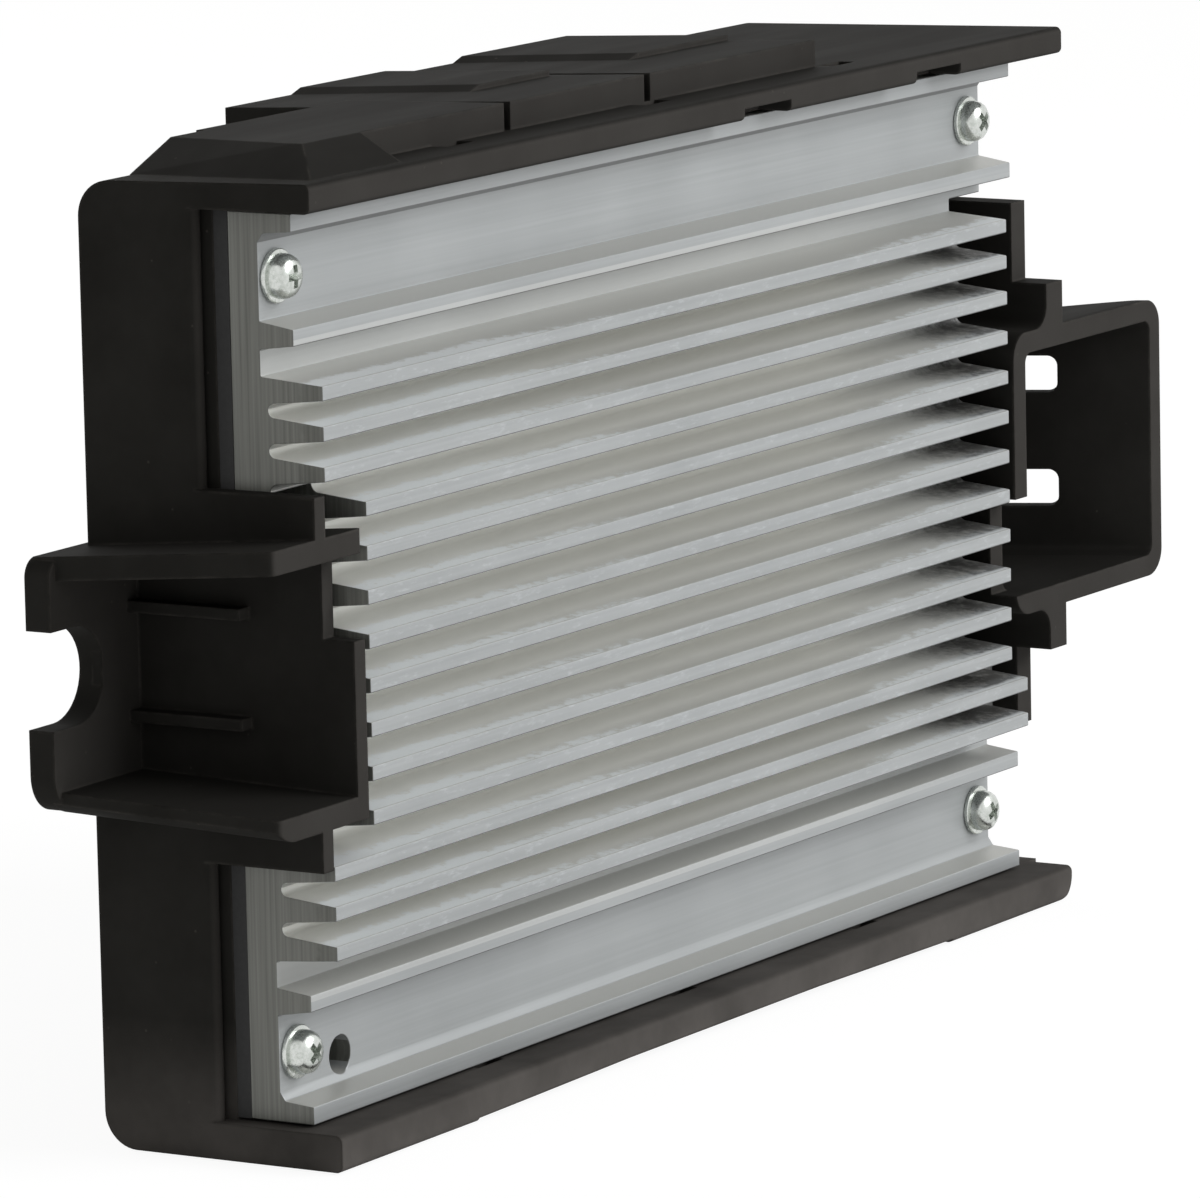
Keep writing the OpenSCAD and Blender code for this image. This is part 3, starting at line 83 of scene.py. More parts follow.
# Glass-filled nylon, moulded black: a fine spark texture breaks up the sheen and flow marks run along the
# part.
# Dust greys the faces unevenly, more near the bench. Front-facing faces are painted lighter as painted light,
# and faces that look up are painted darker as painted shade. Edges are softly rounded and rubbed to
# brown-grey, and stray specks of dust catch the light
def moulded_black_nylon():
    material, tree, shader, coords = new_material("moulded_black_nylon")
    dust_size, rub_size, speck_gap, spark_size = 14 * MM, 3 * MM, 3.2 * MM, 0.4 * MM
    flow_sizes = (40 * MM, 6 * MM, 3 * MM)
    dust_top, dust_foot = 14 * MM, 1 * MM
    edge_radius, spark_depth = 0.45 * MM, 0.03 * MM

    dust = add(tree, "ShaderNodeTexNoise", values={"Scale": 1 / dust_size, "Detail": 4.0, "Roughness": 0.6},
               links={"Vector": coords})
    dusty = add(tree, "ShaderNodeMapRange", values={"From Min": 0.35, "From Max": 0.7},
                links={"Value": dust.outputs["Fac"]})
    clean = add(tree, "ShaderNodeMix", {"data_type": "RGBA"},
                {TONE_A: hex_colour("#272624"), TONE_B: hex_colour("#302f2d")},
                {"Factor": dusty.outputs["Result"]})
    place = add(tree, "ShaderNodeSeparateXYZ", links={"Vector": coords})
    low_down = add(tree, "ShaderNodeMapRange", values={"From Min": dust_top, "From Max": dust_foot},
                   links={"Value": place.outputs["Z"]})
    settled = add(tree, "ShaderNodeMath", {"operation": "MULTIPLY"},
                  links={0: low_down.outputs["Result"], 1: dust.outputs["Fac"]})
    face = add(tree, "ShaderNodeNewGeometry")
    facing = add(tree, "ShaderNodeSeparateXYZ", links={"Vector": face.outputs["Normal"]})
    # Faces that look up are painted darker: painted shade
    looking_up = add(tree, "ShaderNodeMapRange",
                     values={"From Min": 0.3, "From Max": 0.7, "To Min": 0.0, "To Max": 0.7},
                     links={"Value": facing.outputs["Z"]})
    top_painted_shade = add(tree, "ShaderNodeMix", {"data_type": "RGBA"}, {TONE_B: hex_colour("#1c1b19")},
                {"Factor": looking_up.outputs["Result"], TONE_A: clean.outputs[MIXED]})
    # Front-facing faces are painted lighter with the dust tone: painted light from the front
    front_painted_light = add(tree, "ShaderNodeMapRange",
                values={"From Min": -0.6, "From Max": -0.95, "To Min": 0.0, "To Max": 0.18},
                links={"Value": facing.outputs["Y"]})
    dust_and_front_light = add(tree, "ShaderNodeMath", {"operation": "ADD"},
                 links={0: settled.outputs["Value"], 1: front_painted_light.outputs["Result"]})
    body = add(tree, "ShaderNodeMix", {"data_type": "RGBA"}, {TONE_B: hex_colour("#686461")},
               {"Factor": dust_and_front_light.outputs["Value"], TONE_A: top_painted_shade.outputs[MIXED]})

    # Edges are where the rounded normal turns away from the face
    rounded = add(tree, "ShaderNodeBevel", {"samples": 3}, {"Radius": edge_radius})
    turn = add(tree, "ShaderNodeVectorMath", {"operation": "DOT_PRODUCT"},
               links={0: face.outputs["Normal"], 1: rounded.outputs["Normal"]})
    bend = add(tree, "ShaderNodeMapRange", values={"From Min": 0.995, "From Max": 0.9},
               links={"Value": turn.outputs["Value"]})
    rub = add(tree, "ShaderNodeTexNoise", values={"Scale": 1 / rub_size, "Detail": 3.0, "Roughness": 0.65},
              links={"Vector": coords})
    worn = add(tree, "ShaderNodeMapRange", values={"From Min": 0.3, "From Max": 0.8},
               links={"Value": rub.outputs["Fac"]})
    rubbed = add(tree, "ShaderNodeMath", {"operation": "MULTIPLY"},
                 links={0: bend.outputs["Result"], 1: worn.outputs["Result"]})
    edge_tone = add(tree, "ShaderNodeMix", {"data_type": "RGBA"}, {TONE_B: hex_colour("#56534f")},
                    {"Factor": rubbed.outputs["Value"], TONE_A: body.outputs[MIXED]})
    speck_field = add(tree, "ShaderNodeTexVoronoi", values={"Scale": 1 / speck_gap}, links={"Vector": coords})
    speck = add(tree, "ShaderNodeMapRange",
                values={"From Min": 0.06, "From Max": 0.03, "To Min": 0.0, "To Max": 0.3},
                links={"Value": speck_field.outputs["Distance"]})
    tone = add(tree, "ShaderNodeMix", {"data_type": "RGBA"}, {TONE_B: hex_colour("#5c5853")},
               {"Factor": speck.outputs["Result"], TONE_A: edge_tone.outputs[MIXED]})
    tree.links.new(tone.outputs[MIXED], shader.inputs["Base Color"])

    along = add(tree, "ShaderNodeMapping", values={"Scale": [1 / size for size in flow_sizes]},
                links={"Vector": coords})
    flow = add(tree, "ShaderNodeTexNoise", values={"Scale": 1.0, "Detail": 3.0},
               links={"Vector": along.outputs["Vector"]})
    gloss = add(tree, "ShaderNodeMapRange", values={"To Min": 0.6, "To Max": 0.85},
                links={"Value": flow.outputs["Fac"]})
    tree.links.new(gloss.outputs["Result"], shader.inputs["Roughness"])
    spark = add(tree, "ShaderNodeTexNoise", values={"Scale": 1 / spark_size, "Detail": 2.0},
                links={"Vector": coords})
    bump = add(tree, "ShaderNodeBump", values={"Strength": 0.3, "Distance": spark_depth},
               links={"Height": spark.outputs["Fac"], "Normal": rounded.outputs["Normal"]})
    tree.links.new(bump.outputs["Normal"], shader.inputs["Normal"])
    shader.inputs["IOR"].default_value = 1.53
    shader.inputs["Specular IOR Level"].default_value = 0.03
    return material


# Extruded aluminium: drawn lines run along the fins, and the valleys are painted brighter and warmer than the
# tips, as painted light down in them. Ragged white frost lies behind the tips, more towards both ends, nicks
# whiten the tips, a thin dark line of painted shade runs under each tip, the valleys at the right end are
# painted dark as a painted reflection of the black housing, and the sawn ends are darker, partly as painted
# shade, with upright saw lines
def extruded_aluminium():
    material, tree, shader, coords = new_material("extruded_aluminium")
    low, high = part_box("heat_sink")
    tip, right, middle = low[1], high[0], (low[2] + high[2]) / 2
    # From mid height to the last long fin and to the short fin beside it, and how much painted light each
    # row's valleys get
    last_fin, short_fin = 28.9 * MM, 33.6 * MM
    long_share, short_share, patch_share, end_facing = 0.7, 0.3, 0.3, 0.85
    patch_size, bloom_size, drawn_depth = 18 * MM, 1.3 * MM, 0.04 * MM
    drawn_sizes = (70 * MM, 0.6 * MM, 0.6 * MM)
    chip_sizes = (2.2 * MM, 0.5 * MM, 0.5 * MM)
    saw_sizes = (1 * MM, 0.35 * MM, 25 * MM)
    place = add(tree, "ShaderNodeSeparateXYZ", links={"Vector": coords})
    geometry = add(tree, "ShaderNodeNewGeometry")
    facing = add(tree, "ShaderNodeSeparateXYZ", links={"Vector": geometry.outputs["True Normal"]})

    # Drawn lines and slow changes of tone, and faces that look up painted lighter and warmer as painted light
    along = add(tree, "ShaderNodeMapping", values={"Scale": [1 / size for size in drawn_sizes]},
                links={"Vector": coords})
    drawn = add(tree, "ShaderNodeTexNoise", values={"Scale": 1.0, "Detail": 3.0, "Roughness": 0.6},
                links={"Vector": along.outputs["Vector"]})
    patch = add(tree, "ShaderNodeTexNoise", values={"Scale": 1 / patch_size, "Detail": 2.0},
                links={"Vector": coords})
    uneven = add(tree, "ShaderNodeMath", {"operation": "ADD"},
                 links={0: drawn.outputs["Fac"], 1: patch.outputs["Fac"]})
    uneven_tone = add(tree, "ShaderNodeMapRange", values={"From Min": 0.7, "From Max": 1.3},
                      links={"Value": uneven.outputs["Value"]})
    front = add(tree, "ShaderNodeMix", {"data_type": "RGBA"},
                {TONE_A: hex_colour("#9fa2a3"), TONE_B: hex_colour("#adb0b1")},
                {"Factor": uneven_tone.outputs["Result"]})
    upward = add(tree, "ShaderNodeMapRange", values={"From Min": 0.75, "From Max": 0.95},
                 links={"Value": facing.outputs["Z"]})
    upper_painted_light = add(tree, "ShaderNodeMix", {"data_type": "RGBA"}, {TONE_B: hex_colour("#bcbcb8")},
                {"Factor": upward.outputs["Result"], TONE_A: front.outputs[MIXED]})

    # Painted light down in the valleys, brighter deeper in, fading towards the right end where the black
    # housing is reflected
    depth = add(tree, "ShaderNodeMapRange", values={"From Min": tip + 0.4 * MM, "From Max": tip + 2.6 * MM},
                links={"Value": place.outputs["Y"]})
    height = add(tree, "ShaderNodeMath", {"operation": "SUBTRACT"}, {1: middle}, {0: place.outputs["Z"]})
    off_middle = add(tree, "ShaderNodeMath", {"operation": "ABSOLUTE"}, links={0: height.outputs["Value"]})
    among_fins = add(tree, "ShaderNodeMath", {"operation": "LESS_THAN"}, {1: last_fin},
                     {0: off_middle.outputs["Value"]})
    beside_fins = add(tree, "ShaderNodeMath", {"operation": "LESS_THAN"}, {1: short_fin},
                      {0: off_middle.outputs["Value"]})
    row = add(tree, "ShaderNodeMapRange", values={"To Min": 0.0, "To Max": short_share},
              links={"Value": beside_fins.outputs["Value"]})
    rows = add(tree, "ShaderNodeMath", {"operation": "MULTIPLY_ADD"}, {1: long_share},
               {0: among_fins.outputs["Value"], 2: row.outputs["Result"]})
    right_end = add(tree, "ShaderNodeMapRange",
                    values={"From Min": right - 40 * MM, "From Max": right - 6 * MM, "To Min": 1.0,
                            "To Max": 0.2},
                    links={"Value": place.outputs["X"]})
    valley_light_share = add(tree, "ShaderNodeMath", {"operation": "MULTIPLY"},
               links={0: rows.outputs["Value"], 1: right_end.outputs["Result"]})
    valley_light_mask = add(tree, "ShaderNodeMath", {"operation": "MULTIPLY"},
                 links={0: depth.outputs["Result"], 1: valley_light_share.outputs["Value"]})
    deep = add(tree, "ShaderNodeMapRange", values={"From Min": tip + 2.4 * MM, "From Max": tip + 5.4 * MM},
               links={"Value": place.outputs["Y"]})
    valley_light_tone = add(tree, "ShaderNodeMix", {"data_type": "RGBA"},
                      {TONE_A: hex_colour("#d6d6d2"), TONE_B: hex_colour("#f5f5f1")},
                      {"Factor": deep.outputs["Result"]})
    valley_lit_tone = add(tree, "ShaderNodeMix", {"data_type": "RGBA"},
               links={"Factor": valley_light_mask.outputs["Value"], TONE_A: upper_painted_light.outputs[MIXED],
                      TONE_B: valley_light_tone.outputs[MIXED]})

    # Frost behind the tips, and nicks on the tips
    bloom = add(tree, "ShaderNodeTexNoise",
                values={"Scale": 1 / bloom_size, "Detail": 5.0, "Roughness": 0.75}, links={"Vector": coords})
    from_middle = add(tree, "ShaderNodeMath", {"operation": "ABSOLUTE"}, links={0: place.outputs["X"]})
    to_ends = add(tree, "ShaderNodeMapRange",
                  values={"From Min": 10 * MM, "From Max": 65 * MM, "To Min": 0.35, "To Max": 1.2},
                  links={"Value": from_middle.outputs["Value"]})
    near_tip = add(tree, "ShaderNodeMapRange",
                   values={"From Min": tip + 4.5 * MM, "From Max": tip + 0.3 * MM},
                   links={"Value": place.outputs["Y"]})
    spread = add(tree, "ShaderNodeMath", {"operation": "MULTIPLY"},
                 links={0: near_tip.outputs["Result"], 1: to_ends.outputs["Result"]})
    frost = add(tree, "ShaderNodeMath", {"operation": "MULTIPLY"},
                links={0: bloom.outputs["Fac"], 1: spread.outputs["Value"]})
    patchy = add(tree, "ShaderNodeMath", {"operation": "MULTIPLY_ADD"}, {1: patch_share},
                 {0: patch.outputs["Fac"], 2: frost.outputs["Value"]})
    speckled = add(tree, "ShaderNodeMapRange",
                   values={"From Min": 0.41, "From Max": 0.5, "To Min": 0.0, "To Max": 0.85},
                   links={"Value": patchy.outputs["Value"]})
    off_front = add(tree, "ShaderNodeMapRange",
                    values={"From Min": tip + 0.1 * MM, "From Max": tip + 0.3 * MM},
                    links={"Value": place.outputs["Y"]})
    frosted = add(tree, "ShaderNodeMath", {"operation": "MULTIPLY"},
                  links={0: speckled.outputs["Result"], 1: off_front.outputs["Result"]})
    frosted_tone = add(tree, "ShaderNodeMix", {"data_type": "RGBA"}, {TONE_B: hex_colour("#dde1e3")},
                       {"Factor": frosted.outputs["Value"], TONE_A: valley_lit_tone.outputs[MIXED]})
    chip_field = add(tree, "ShaderNodeMapping", values={"Scale": [1 / size for size in chip_sizes]},
                     links={"Vector": coords})
    chips = add(tree, "ShaderNodeTexNoise", values={"Scale": 1.0, "Detail": 3.0, "Roughness": 0.7},
                links={"Vector": chip_field.outputs["Vector"]})
    chipped = add(tree, "ShaderNodeMapRange",
                  values={"From Min": 0.56, "From Max": 0.75, "To Min": 0.0, "To Max": 0.5},
                  links={"Value": chips.outputs["Fac"]})
    at_tip = add(tree, "ShaderNodeMapRange",
                 values={"From Min": tip + 0.3 * MM, "From Max": tip + 0.1 * MM},
                 links={"Value": place.outputs["Y"]})
    nicked = add(tree, "ShaderNodeMath", {"operation": "MULTIPLY"},
                 links={0: chipped.outputs["Result"], 1: at_tip.outputs["Result"]})
    pale = add(tree, "ShaderNodeMath", {"operation": "MAXIMUM"},
               links={0: frosted.outputs["Value"], 1: nicked.outputs["Value"]})
    scuffed = add(tree, "ShaderNodeMix", {"data_type": "RGBA"}, {TONE_B: hex_colour("#c9cdcf")},
                  {"Factor": nicked.outputs["Value"], TONE_A: frosted_tone.outputs[MIXED]})

    # Painted reflection of the black housing darkening the valleys at the right end, and painted shade as a
    # dark line on each tip's lower edge
    right_side = add(tree, "ShaderNodeMapRange",
                     values={"From Min": right - 26 * MM, "From Max": right - 10 * MM},
                     links={"Value": place.outputs["X"]})
    behind_tip = add(tree, "ShaderNodeMapRange",
                     values={"From Min": tip + 0.2 * MM, "From Max": tip + 1.1 * MM},
                     links={"Value": place.outputs["Y"]})
    sheltered = add(tree, "ShaderNodeMath", {"operation": "MULTIPLY"},
                    links={0: right_side.outputs["Result"], 1: behind_tip.outputs["Result"]})
    between = add(tree, "ShaderNodeMath", {"operation": "MULTIPLY"},
                  links={0: sheltered.outputs["Value"], 1: among_fins.outputs["Value"]})
    right_end_reflection = add(tree, "ShaderNodeMath", {"operation": "MULTIPLY"},
                 links={0: between.outputs["Value"], 1: bloom.outputs["Fac"]})
    painted_right_reflection = add(tree, "ShaderNodeMapRange",
                  values={"From Min": 0.16, "From Max": 0.5, "To Min": 0.0, "To Max": 0.85},
                  links={"Value": right_end_reflection.outputs["Value"]})
    below = add(tree, "ShaderNodeMapRange",
                values={"From Min": -0.15, "From Max": -0.35, "To Min": 0.0, "To Max": 0.6},
                links={"Value": facing.outputs["Z"]})
    forward = add(tree, "ShaderNodeMapRange", values={"From Min": -0.15, "From Max": -0.3},
                  links={"Value": facing.outputs["Y"]})
    under_tip = add(tree, "ShaderNodeMath", {"operation": "MULTIPLY"},
                    links={0: below.outputs["Result"], 1: forward.outputs["Result"]})
    painted_shade_mask = add(tree, "ShaderNodeMath", {"operation": "MAXIMUM"},
                links={0: painted_right_reflection.outputs["Result"], 1: under_tip.outputs["Value"]})
    # Painted shade under the tips and painted reflection at the right end darken these places
    painted_shade_tone = add(tree, "ShaderNodeMix", {"data_type": "RGBA"}, {TONE_B: hex_colour("#383735")},
                 {"Factor": painted_shade_mask.outputs["Value"], TONE_A: scuffed.outputs[MIXED]})

    # Sawn ends: upright saw lines, and a darker tone that is partly the sawn finish and partly painted shade
    saw_field = add(tree, "ShaderNodeMapping", values={"Scale": [1 / size for size in saw_sizes]},
                    links={"Vector": coords})
    sawn = add(tree, "ShaderNodeTexNoise", values={"Scale": 1.0, "Detail": 4.0},
               links={"Vector": saw_field.outputs["Vector"]})
    sawn_tone = add(tree, "ShaderNodeMapRange", values={"From Min": 0.3, "From Max": 0.7},
                    links={"Value": sawn.outputs["Fac"]})
    sawn_shaded_end = add(tree, "ShaderNodeMix", {"data_type": "RGBA"},
              {TONE_A: hex_colour("#62635e"), TONE_B: hex_colour("#7c7d78")},
              {"Factor": sawn_tone.outputs["Result"]})
    sideways = add(tree, "ShaderNodeMath", {"operation": "ABSOLUTE"}, links={0: facing.outputs["X"]})
    is_end = add(tree, "ShaderNodeMath", {"operation": "GREATER_THAN"}, {1: end_facing},
                 {0: sideways.outputs["Value"]})
    colour = add(tree, "ShaderNodeMix", {"data_type": "RGBA"},
                 links={"Factor": is_end.outputs["Value"], TONE_A: painted_shade_tone.outputs[MIXED],
                        TONE_B: sawn_shaded_end.outputs[MIXED]})
    tree.links.new(colour.outputs[MIXED], shader.inputs["Base Color"])

    bump = add(tree, "ShaderNodeBump", values={"Strength": 0.2, "Distance": drawn_depth},
               links={"Height": drawn.outputs["Fac"]})
    tree.links.new(bump.outputs["Normal"], shader.inputs["Normal"])
    matte = add(tree, "ShaderNodeMapRange", values={"To Min": 0.45, "To Max": 0.7},
                links={"Value": pale.outputs["Value"]})
    tree.links.new(matte.outputs["Result"], shader.inputs["Roughness"])
    shader.inputs["Metallic"].default_value = 0.3
    return material


# Bright zinc over steel: a hard, slightly yellow-green shine, broken by small dull spots
def bright_zinc_steel():
    material, tree, shader, coords = new_material("bright_zinc_steel")
    spot_size, spot_depth = 0.4 * MM, 0.03 * MM
    spots = add(tree, "ShaderNodeTexNoise", values={"Scale": 1 / spot_size, "Detail": 3.0, "Roughness": 0.6},
                links={"Vector": coords})
    dull = add(tree, "ShaderNodeMapRange", values={"From Min": 0.4, "From Max": 0.65},
               links={"Value": spots.outputs["Fac"]})
    tone = add(tree, "ShaderNodeMix", {"data_type": "RGBA"},
               {TONE_A: hex_colour("#d3d6d2"), TONE_B: hex_colour("#bfc4be")},
               {"Factor": dull.outputs["Result"]})
    tree.links.new(tone.outputs[MIXED], shader.inputs["Base Color"])
    shine = add(tree, "ShaderNodeMapRange", values={"To Min": 0.2, "To Max": 0.34},
                links={"Value": dull.outputs["Result"]})
    tree.links.new(shine.outputs["Result"], shader.inputs["Roughness"])
    bump = add(tree, "ShaderNodeBump", values={"Strength": 0.06, "Distance": spot_depth},
               links={"Height": spots.outputs["Fac"]})
    tree.links.new(bump.outputs["Normal"], shader.inputs["Normal"])
    shader.inputs["Metallic"].default_value = 1.0
    return material


# A plain finish with slight mottling between two tones, for the small and hidden pieces; size is in mm
def plain_finish(name, low, high, size, metallic, roughness):
    material, tree, shader, coords = new_material(name)
    mottle_depth = 0.03 * MM
    mottle = add(tree, "ShaderNodeTexNoise", values={"Scale": 1 / (size * MM), "Detail": 3.0},
                 links={"Vector": coords})
    mottled = add(tree, "ShaderNodeMapRange", values={"From Min": 0.35, "From Max": 0.65},
                  links={"Value": mottle.outputs["Fac"]})
    tone = add(tree, "ShaderNodeMix", {"data_type": "RGBA"},
               {TONE_A: hex_colour(low), TONE_B: hex_colour(high)},
               {"Factor": mottled.outputs["Result"]})
    tree.links.new(tone.outputs[MIXED], shader.inputs["Base Color"])
    bump = add(tree, "ShaderNodeBump", values={"Strength": 0.1, "Distance": mottle_depth},
               links={"Height": mottle.outputs["Fac"]})
    tree.links.new(bump.outputs["Normal"], shader.inputs["Normal"])
    shader.inputs["Metallic"].default_value = metallic
    shader.inputs["Roughness"].default_value = roughness
    return material


finishes = {
    "housing_plastic": moulded_black_nylon(),
    "extruded_aluminium": extruded_aluminium(),
    "zinc_screw": bright_zinc_steel(),
    "seal_rubber": plain_finish("black_silicone_rubber", "#141414", "#1c1c1c", 0.6, 0.0, 0.7),
    "board_laminate": plain_finish("green_solder_mask", "#12401f", "#17502a", 2.0, 0.0, 0.35),
    "package_black": plain_finish("moulded_black_epoxy", "#1a1a1c", "#232325", 0.5, 0.0, 0.5),
    "pad_silicone": plain_finish("pink_silicone_pad", "#b98d88", "#c79b95", 0.7, 0.0, 0.7),
    "clip_steel": plain_finish("blued_spring_steel", "#5b626b", "#6d747d", 0.7, 1.0, 0.35),
    "shunt_alloy": plain_finish("copper_alloy_strip", "#a9744a", "#b98458", 0.8, 1.0, 0.35),
    "capacitor_sleeve": plain_finish("black_shrink_sleeve", "#171b22", "#20252d", 1.5, 0.0, 0.3),
    "ferrite": plain_finish("sintered_ferrite", "#2b2b2d", "#38383b", 0.4, 0.0, 0.6),
    "copper_wire": plain_finish("enamelled_copper_wire", "#96491f", "#ab5a2c", 0.8, 0.8, 0.3),
    "varistor_coat": plain_finish("blue_dipped_epoxy", "#1f3f86", "#284c99", 1.0, 0.0, 0.3),
    "fuse_ceramic": plain_finish("tan_glazed_ceramic", "#b79c78", "#c6ac88", 1.0, 0.0, 0.3),
    "tinned_terminal": plain_finish("tinned_brass", "#b4b3ab", "#c9c8c0", 0.9, 1.0, 0.35),
    "carrier_plastic": plain_finish("moulded_dark_nylon", "#222224", "#2c2c2f", 0.5, 0.0, 0.5),
}
slot_of = {part["node"]: part["material_slot"] for part in frame["record"]["subparts"]}
for name, node in nodes.items():
    node.data.materials.clear()
    node.data.materials.append(finishes[slot_of[name]])


# Puts a finished mesh in the scene as the piece that stands for a CAD node
def stand_for(name, piece, mesh):
    piece.modifiers.clear()
    piece.data = mesh
    mesh.materials.clear()
    mesh.materials.append(finishes[slot_of[name]])
    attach(piece, "root")
    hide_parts(name)


# The heat sink with its sharp edges eased by a small width where faces meet at more than a given angle
def eased_heat_sink(ease, corner):
    weld, flat = 0.002 * MM, math.radians(0.5)
    form = bmesh.new()
    form.from_mesh(nodes["heat_sink"].data)
    bmesh.ops.remove_doubles(form, verts=form.verts, dist=weld)
    bmesh.ops.dissolve_limit(form, angle_limit=flat, verts=form.verts, edges=form.edges)
    mesh = bpy.data.meshes.new("eased_heat_sink")
    form.to_mesh(mesh)
    form.free()
    mesh.polygons.foreach_set("use_smooth", [True] * len(mesh.polygons))
    piece = bpy.data.objects.new("eased_heat_sink", mesh)
    bpy.context.scene.collection.objects.link(piece)
    bevel = piece.modifiers.new("eased_edges", "BEVEL")
    bevel.width = ease
    bevel.segments = 2
    bevel.limit_method = "ANGLE"
    bevel.angle_limit = corner
    bevel.use_clamp_overlap = False
    bevel.miter_outer = "MITER_ARC"
    shade = piece.modifiers.new("flat_faces", "WEIGHTED_NORMAL")
    shade.keep_sharp = True
    evaluated = piece.evaluated_get(bpy.context.evaluated_depsgraph_get())
    stand_for("heat_sink", piece, bpy.data.meshes.new_from_object(evaluated))


eased_heat_sink(ease=0.12 * MM, corner=math.radians(50))


# One pan head screw at the origin, its axis along Y and its head towards -Y: a washer face, a crowned
# head with a tapering cross recess and a plain shank. Sizes are in mm
def screw_mesh(shank):
    # Radius and place along the axis, from the shank's end to the top of the crown
    outline = [(0.0, shank), (1.2, shank), (1.45, shank - 0.3), (1.45, 0.0), (2.66, 0.0), (2.78, -0.12),
               (2.78, -0.45), (2.68, -0.55), (2.3, -0.6), (2.3, -1.15), (2.22, -1.6), (2.0, -2.0),
               (1.6, -2.3), (1.1, -2.47), (0.5, -2.54), (0.0, -2.55)]
    steps, weld, crease = 40, 0.001 * MM, math.radians(35)
    form = bmesh.new()
    ring = [form.verts.new((r * MM, y * MM, 0)) for r, y in outline]
    edges = [form.edges.new(pair) for pair in zip(ring, ring[1:])]
    bmesh.ops.spin(form, geom=ring + edges, cent=(0, 0, 0), axis=(0, 1, 0), angle=2 * math.pi, steps=steps)
    bmesh.ops.remove_doubles(form, verts=form.verts, dist=weld)
    bmesh.ops.recalc_face_normals(form, faces=form.faces)
    body = bpy.data.meshes.new("screw_body")
    form.to_mesh(body)
    form.free()

    # The recess is two crossed wedges that narrow from above the crown to their floor
    half_length, half_width = 1.35, 0.42
    above_crown, recess_floor, floor_share = -2.9, -1.35, 0.55
    form = bmesh.new()
    for half_x, half_z in ((half_length, half_width), (half_width, half_length)):
        corners = []
        for y, share in ((above_crown, 1.0), (recess_floor, floor_share)):
            corners += [form.verts.new((sx * half_x * share * MM, y * MM, sz * half_z * share * MM))
                        for sx, sz in ((-1, -1), (1, -1), (1, 1), (-1, 1))]
        bmesh.ops.convex_hull(form, input=corners)
    recess = bpy.data.meshes.new("screw_recess")
    form.to_mesh(recess)
    form.free()

    head = bpy.data.objects.new("screw_head", body)
    cutter = bpy.data.objects.new("screw_cutter", recess)
    for thing in (head, cutter):
        bpy.context.scene.collection.objects.link(thing)
    cut = head.modifiers.new("cross_recess", "BOOLEAN")
    cut.operation = "DIFFERENCE"
    cut.solver = "EXACT"
    cut.use_self = True
    cut.object = cutter
    evaluated = head.evaluated_get(bpy.context.evaluated_depsgraph_get())
    made = bpy.data.meshes.new_from_object(evaluated)
    for thing in (head, cutter):
        bpy.data.objects.remove(thing)
    made.polygons.foreach_set("use_smooth", [True] * len(made.polygons))
    made.set_sharp_from_angle(angle=crease)
    return made


# The four heat sink screws: one screw set on the corners of an upright grid, each turned by chance
def heat_sink_screws():
    low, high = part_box("heat_sink_screws")
    washer, head, seed = 5.6 * MM, 2.6 * MM, 7
    tree = bpy.data.node_groups.new("four_screws", "GeometryNodeTree")
    sockets = {}
    for name, kind in [("Screw", "NodeSocketGeometry"), ("Length between screws", "NodeSocketFloat"),
                       ("Height between screws", "NodeSocketFloat"),
                       ("Middle of the seats", "NodeSocketVector"), ("Largest turn", "NodeSocketVector"),
                       ("Seed", "NodeSocketInt"), ("Finish", "NodeSocketMaterial")]:
        sockets[name] = tree.interface.new_socket(name, in_out="INPUT", socket_type=kind)
    tree.interface.new_socket("Screws", in_out="OUTPUT", socket_type="NodeSocketGeometry")
    given = add(tree, "NodeGroupInput")
    grid = add(tree, "GeometryNodeMeshGrid", values={"Vertices X": 2, "Vertices Y": 2},
               links={"Size X": given.outputs["Length between screws"],
                      "Size Y": given.outputs["Height between screws"]})
    upright = add(tree, "GeometryNodeTransform", values={"Rotation": (math.radians(90), 0, 0)},
                  links={"Geometry": grid.outputs["Mesh"],
                         "Translation": given.outputs["Middle of the seats"]})
    turn = add(tree, "FunctionNodeRandomValue", {"data_type": "FLOAT_VECTOR"}, {0: (0, 0, 0)},
               {1: given.outputs["Largest turn"], "Seed": given.outputs["Seed"]})
    set_out = add(tree, "GeometryNodeInstanceOnPoints",
                  links={"Points": upright.outputs["Geometry"], "Instance": given.outputs["Screw"],
                         "Rotation": turn.outputs["Value"]})
    real = add(tree, "GeometryNodeRealizeInstances", links={"Geometry": set_out.outputs["Instances"]})
    finished = add(tree, "GeometryNodeSetMaterial",
                   links={"Geometry": real.outputs["Geometry"], "Material": given.outputs["Finish"]})
    add(tree, "NodeGroupOutput", links={"Screws": finished.outputs["Geometry"]})

    piece = bpy.data.objects.new("pan_head_screws", screw_mesh((high[1] - low[1] - head) / MM))
    bpy.context.scene.collection.objects.link(piece)
    setting = piece.modifiers.new("four_screws", "NODES")
    setting.node_group = tree
    setting[sockets["Length between screws"].identifier] = high[0] - low[0] - washer
    setting[sockets["Height between screws"].identifier] = high[2] - low[2] - washer
    setting[sockets["Middle of the seats"].identifier] = ((low[0] + high[0]) / 2, low[1] + head,
                                                          (low[2] + high[2]) / 2)
    setting[sockets["Largest turn"].identifier] = (0, math.pi / 2, 0)
    setting[sockets["Seed"].identifier] = seed
    setting[sockets["Finish"].identifier] = finishes["zinc_screw"]
    evaluated = piece.evaluated_get(bpy.context.evaluated_depsgraph_get())
    stand_for("heat_sink_screws", piece, bpy.data.meshes.new_from_object(evaluated))


heat_sink_screws()


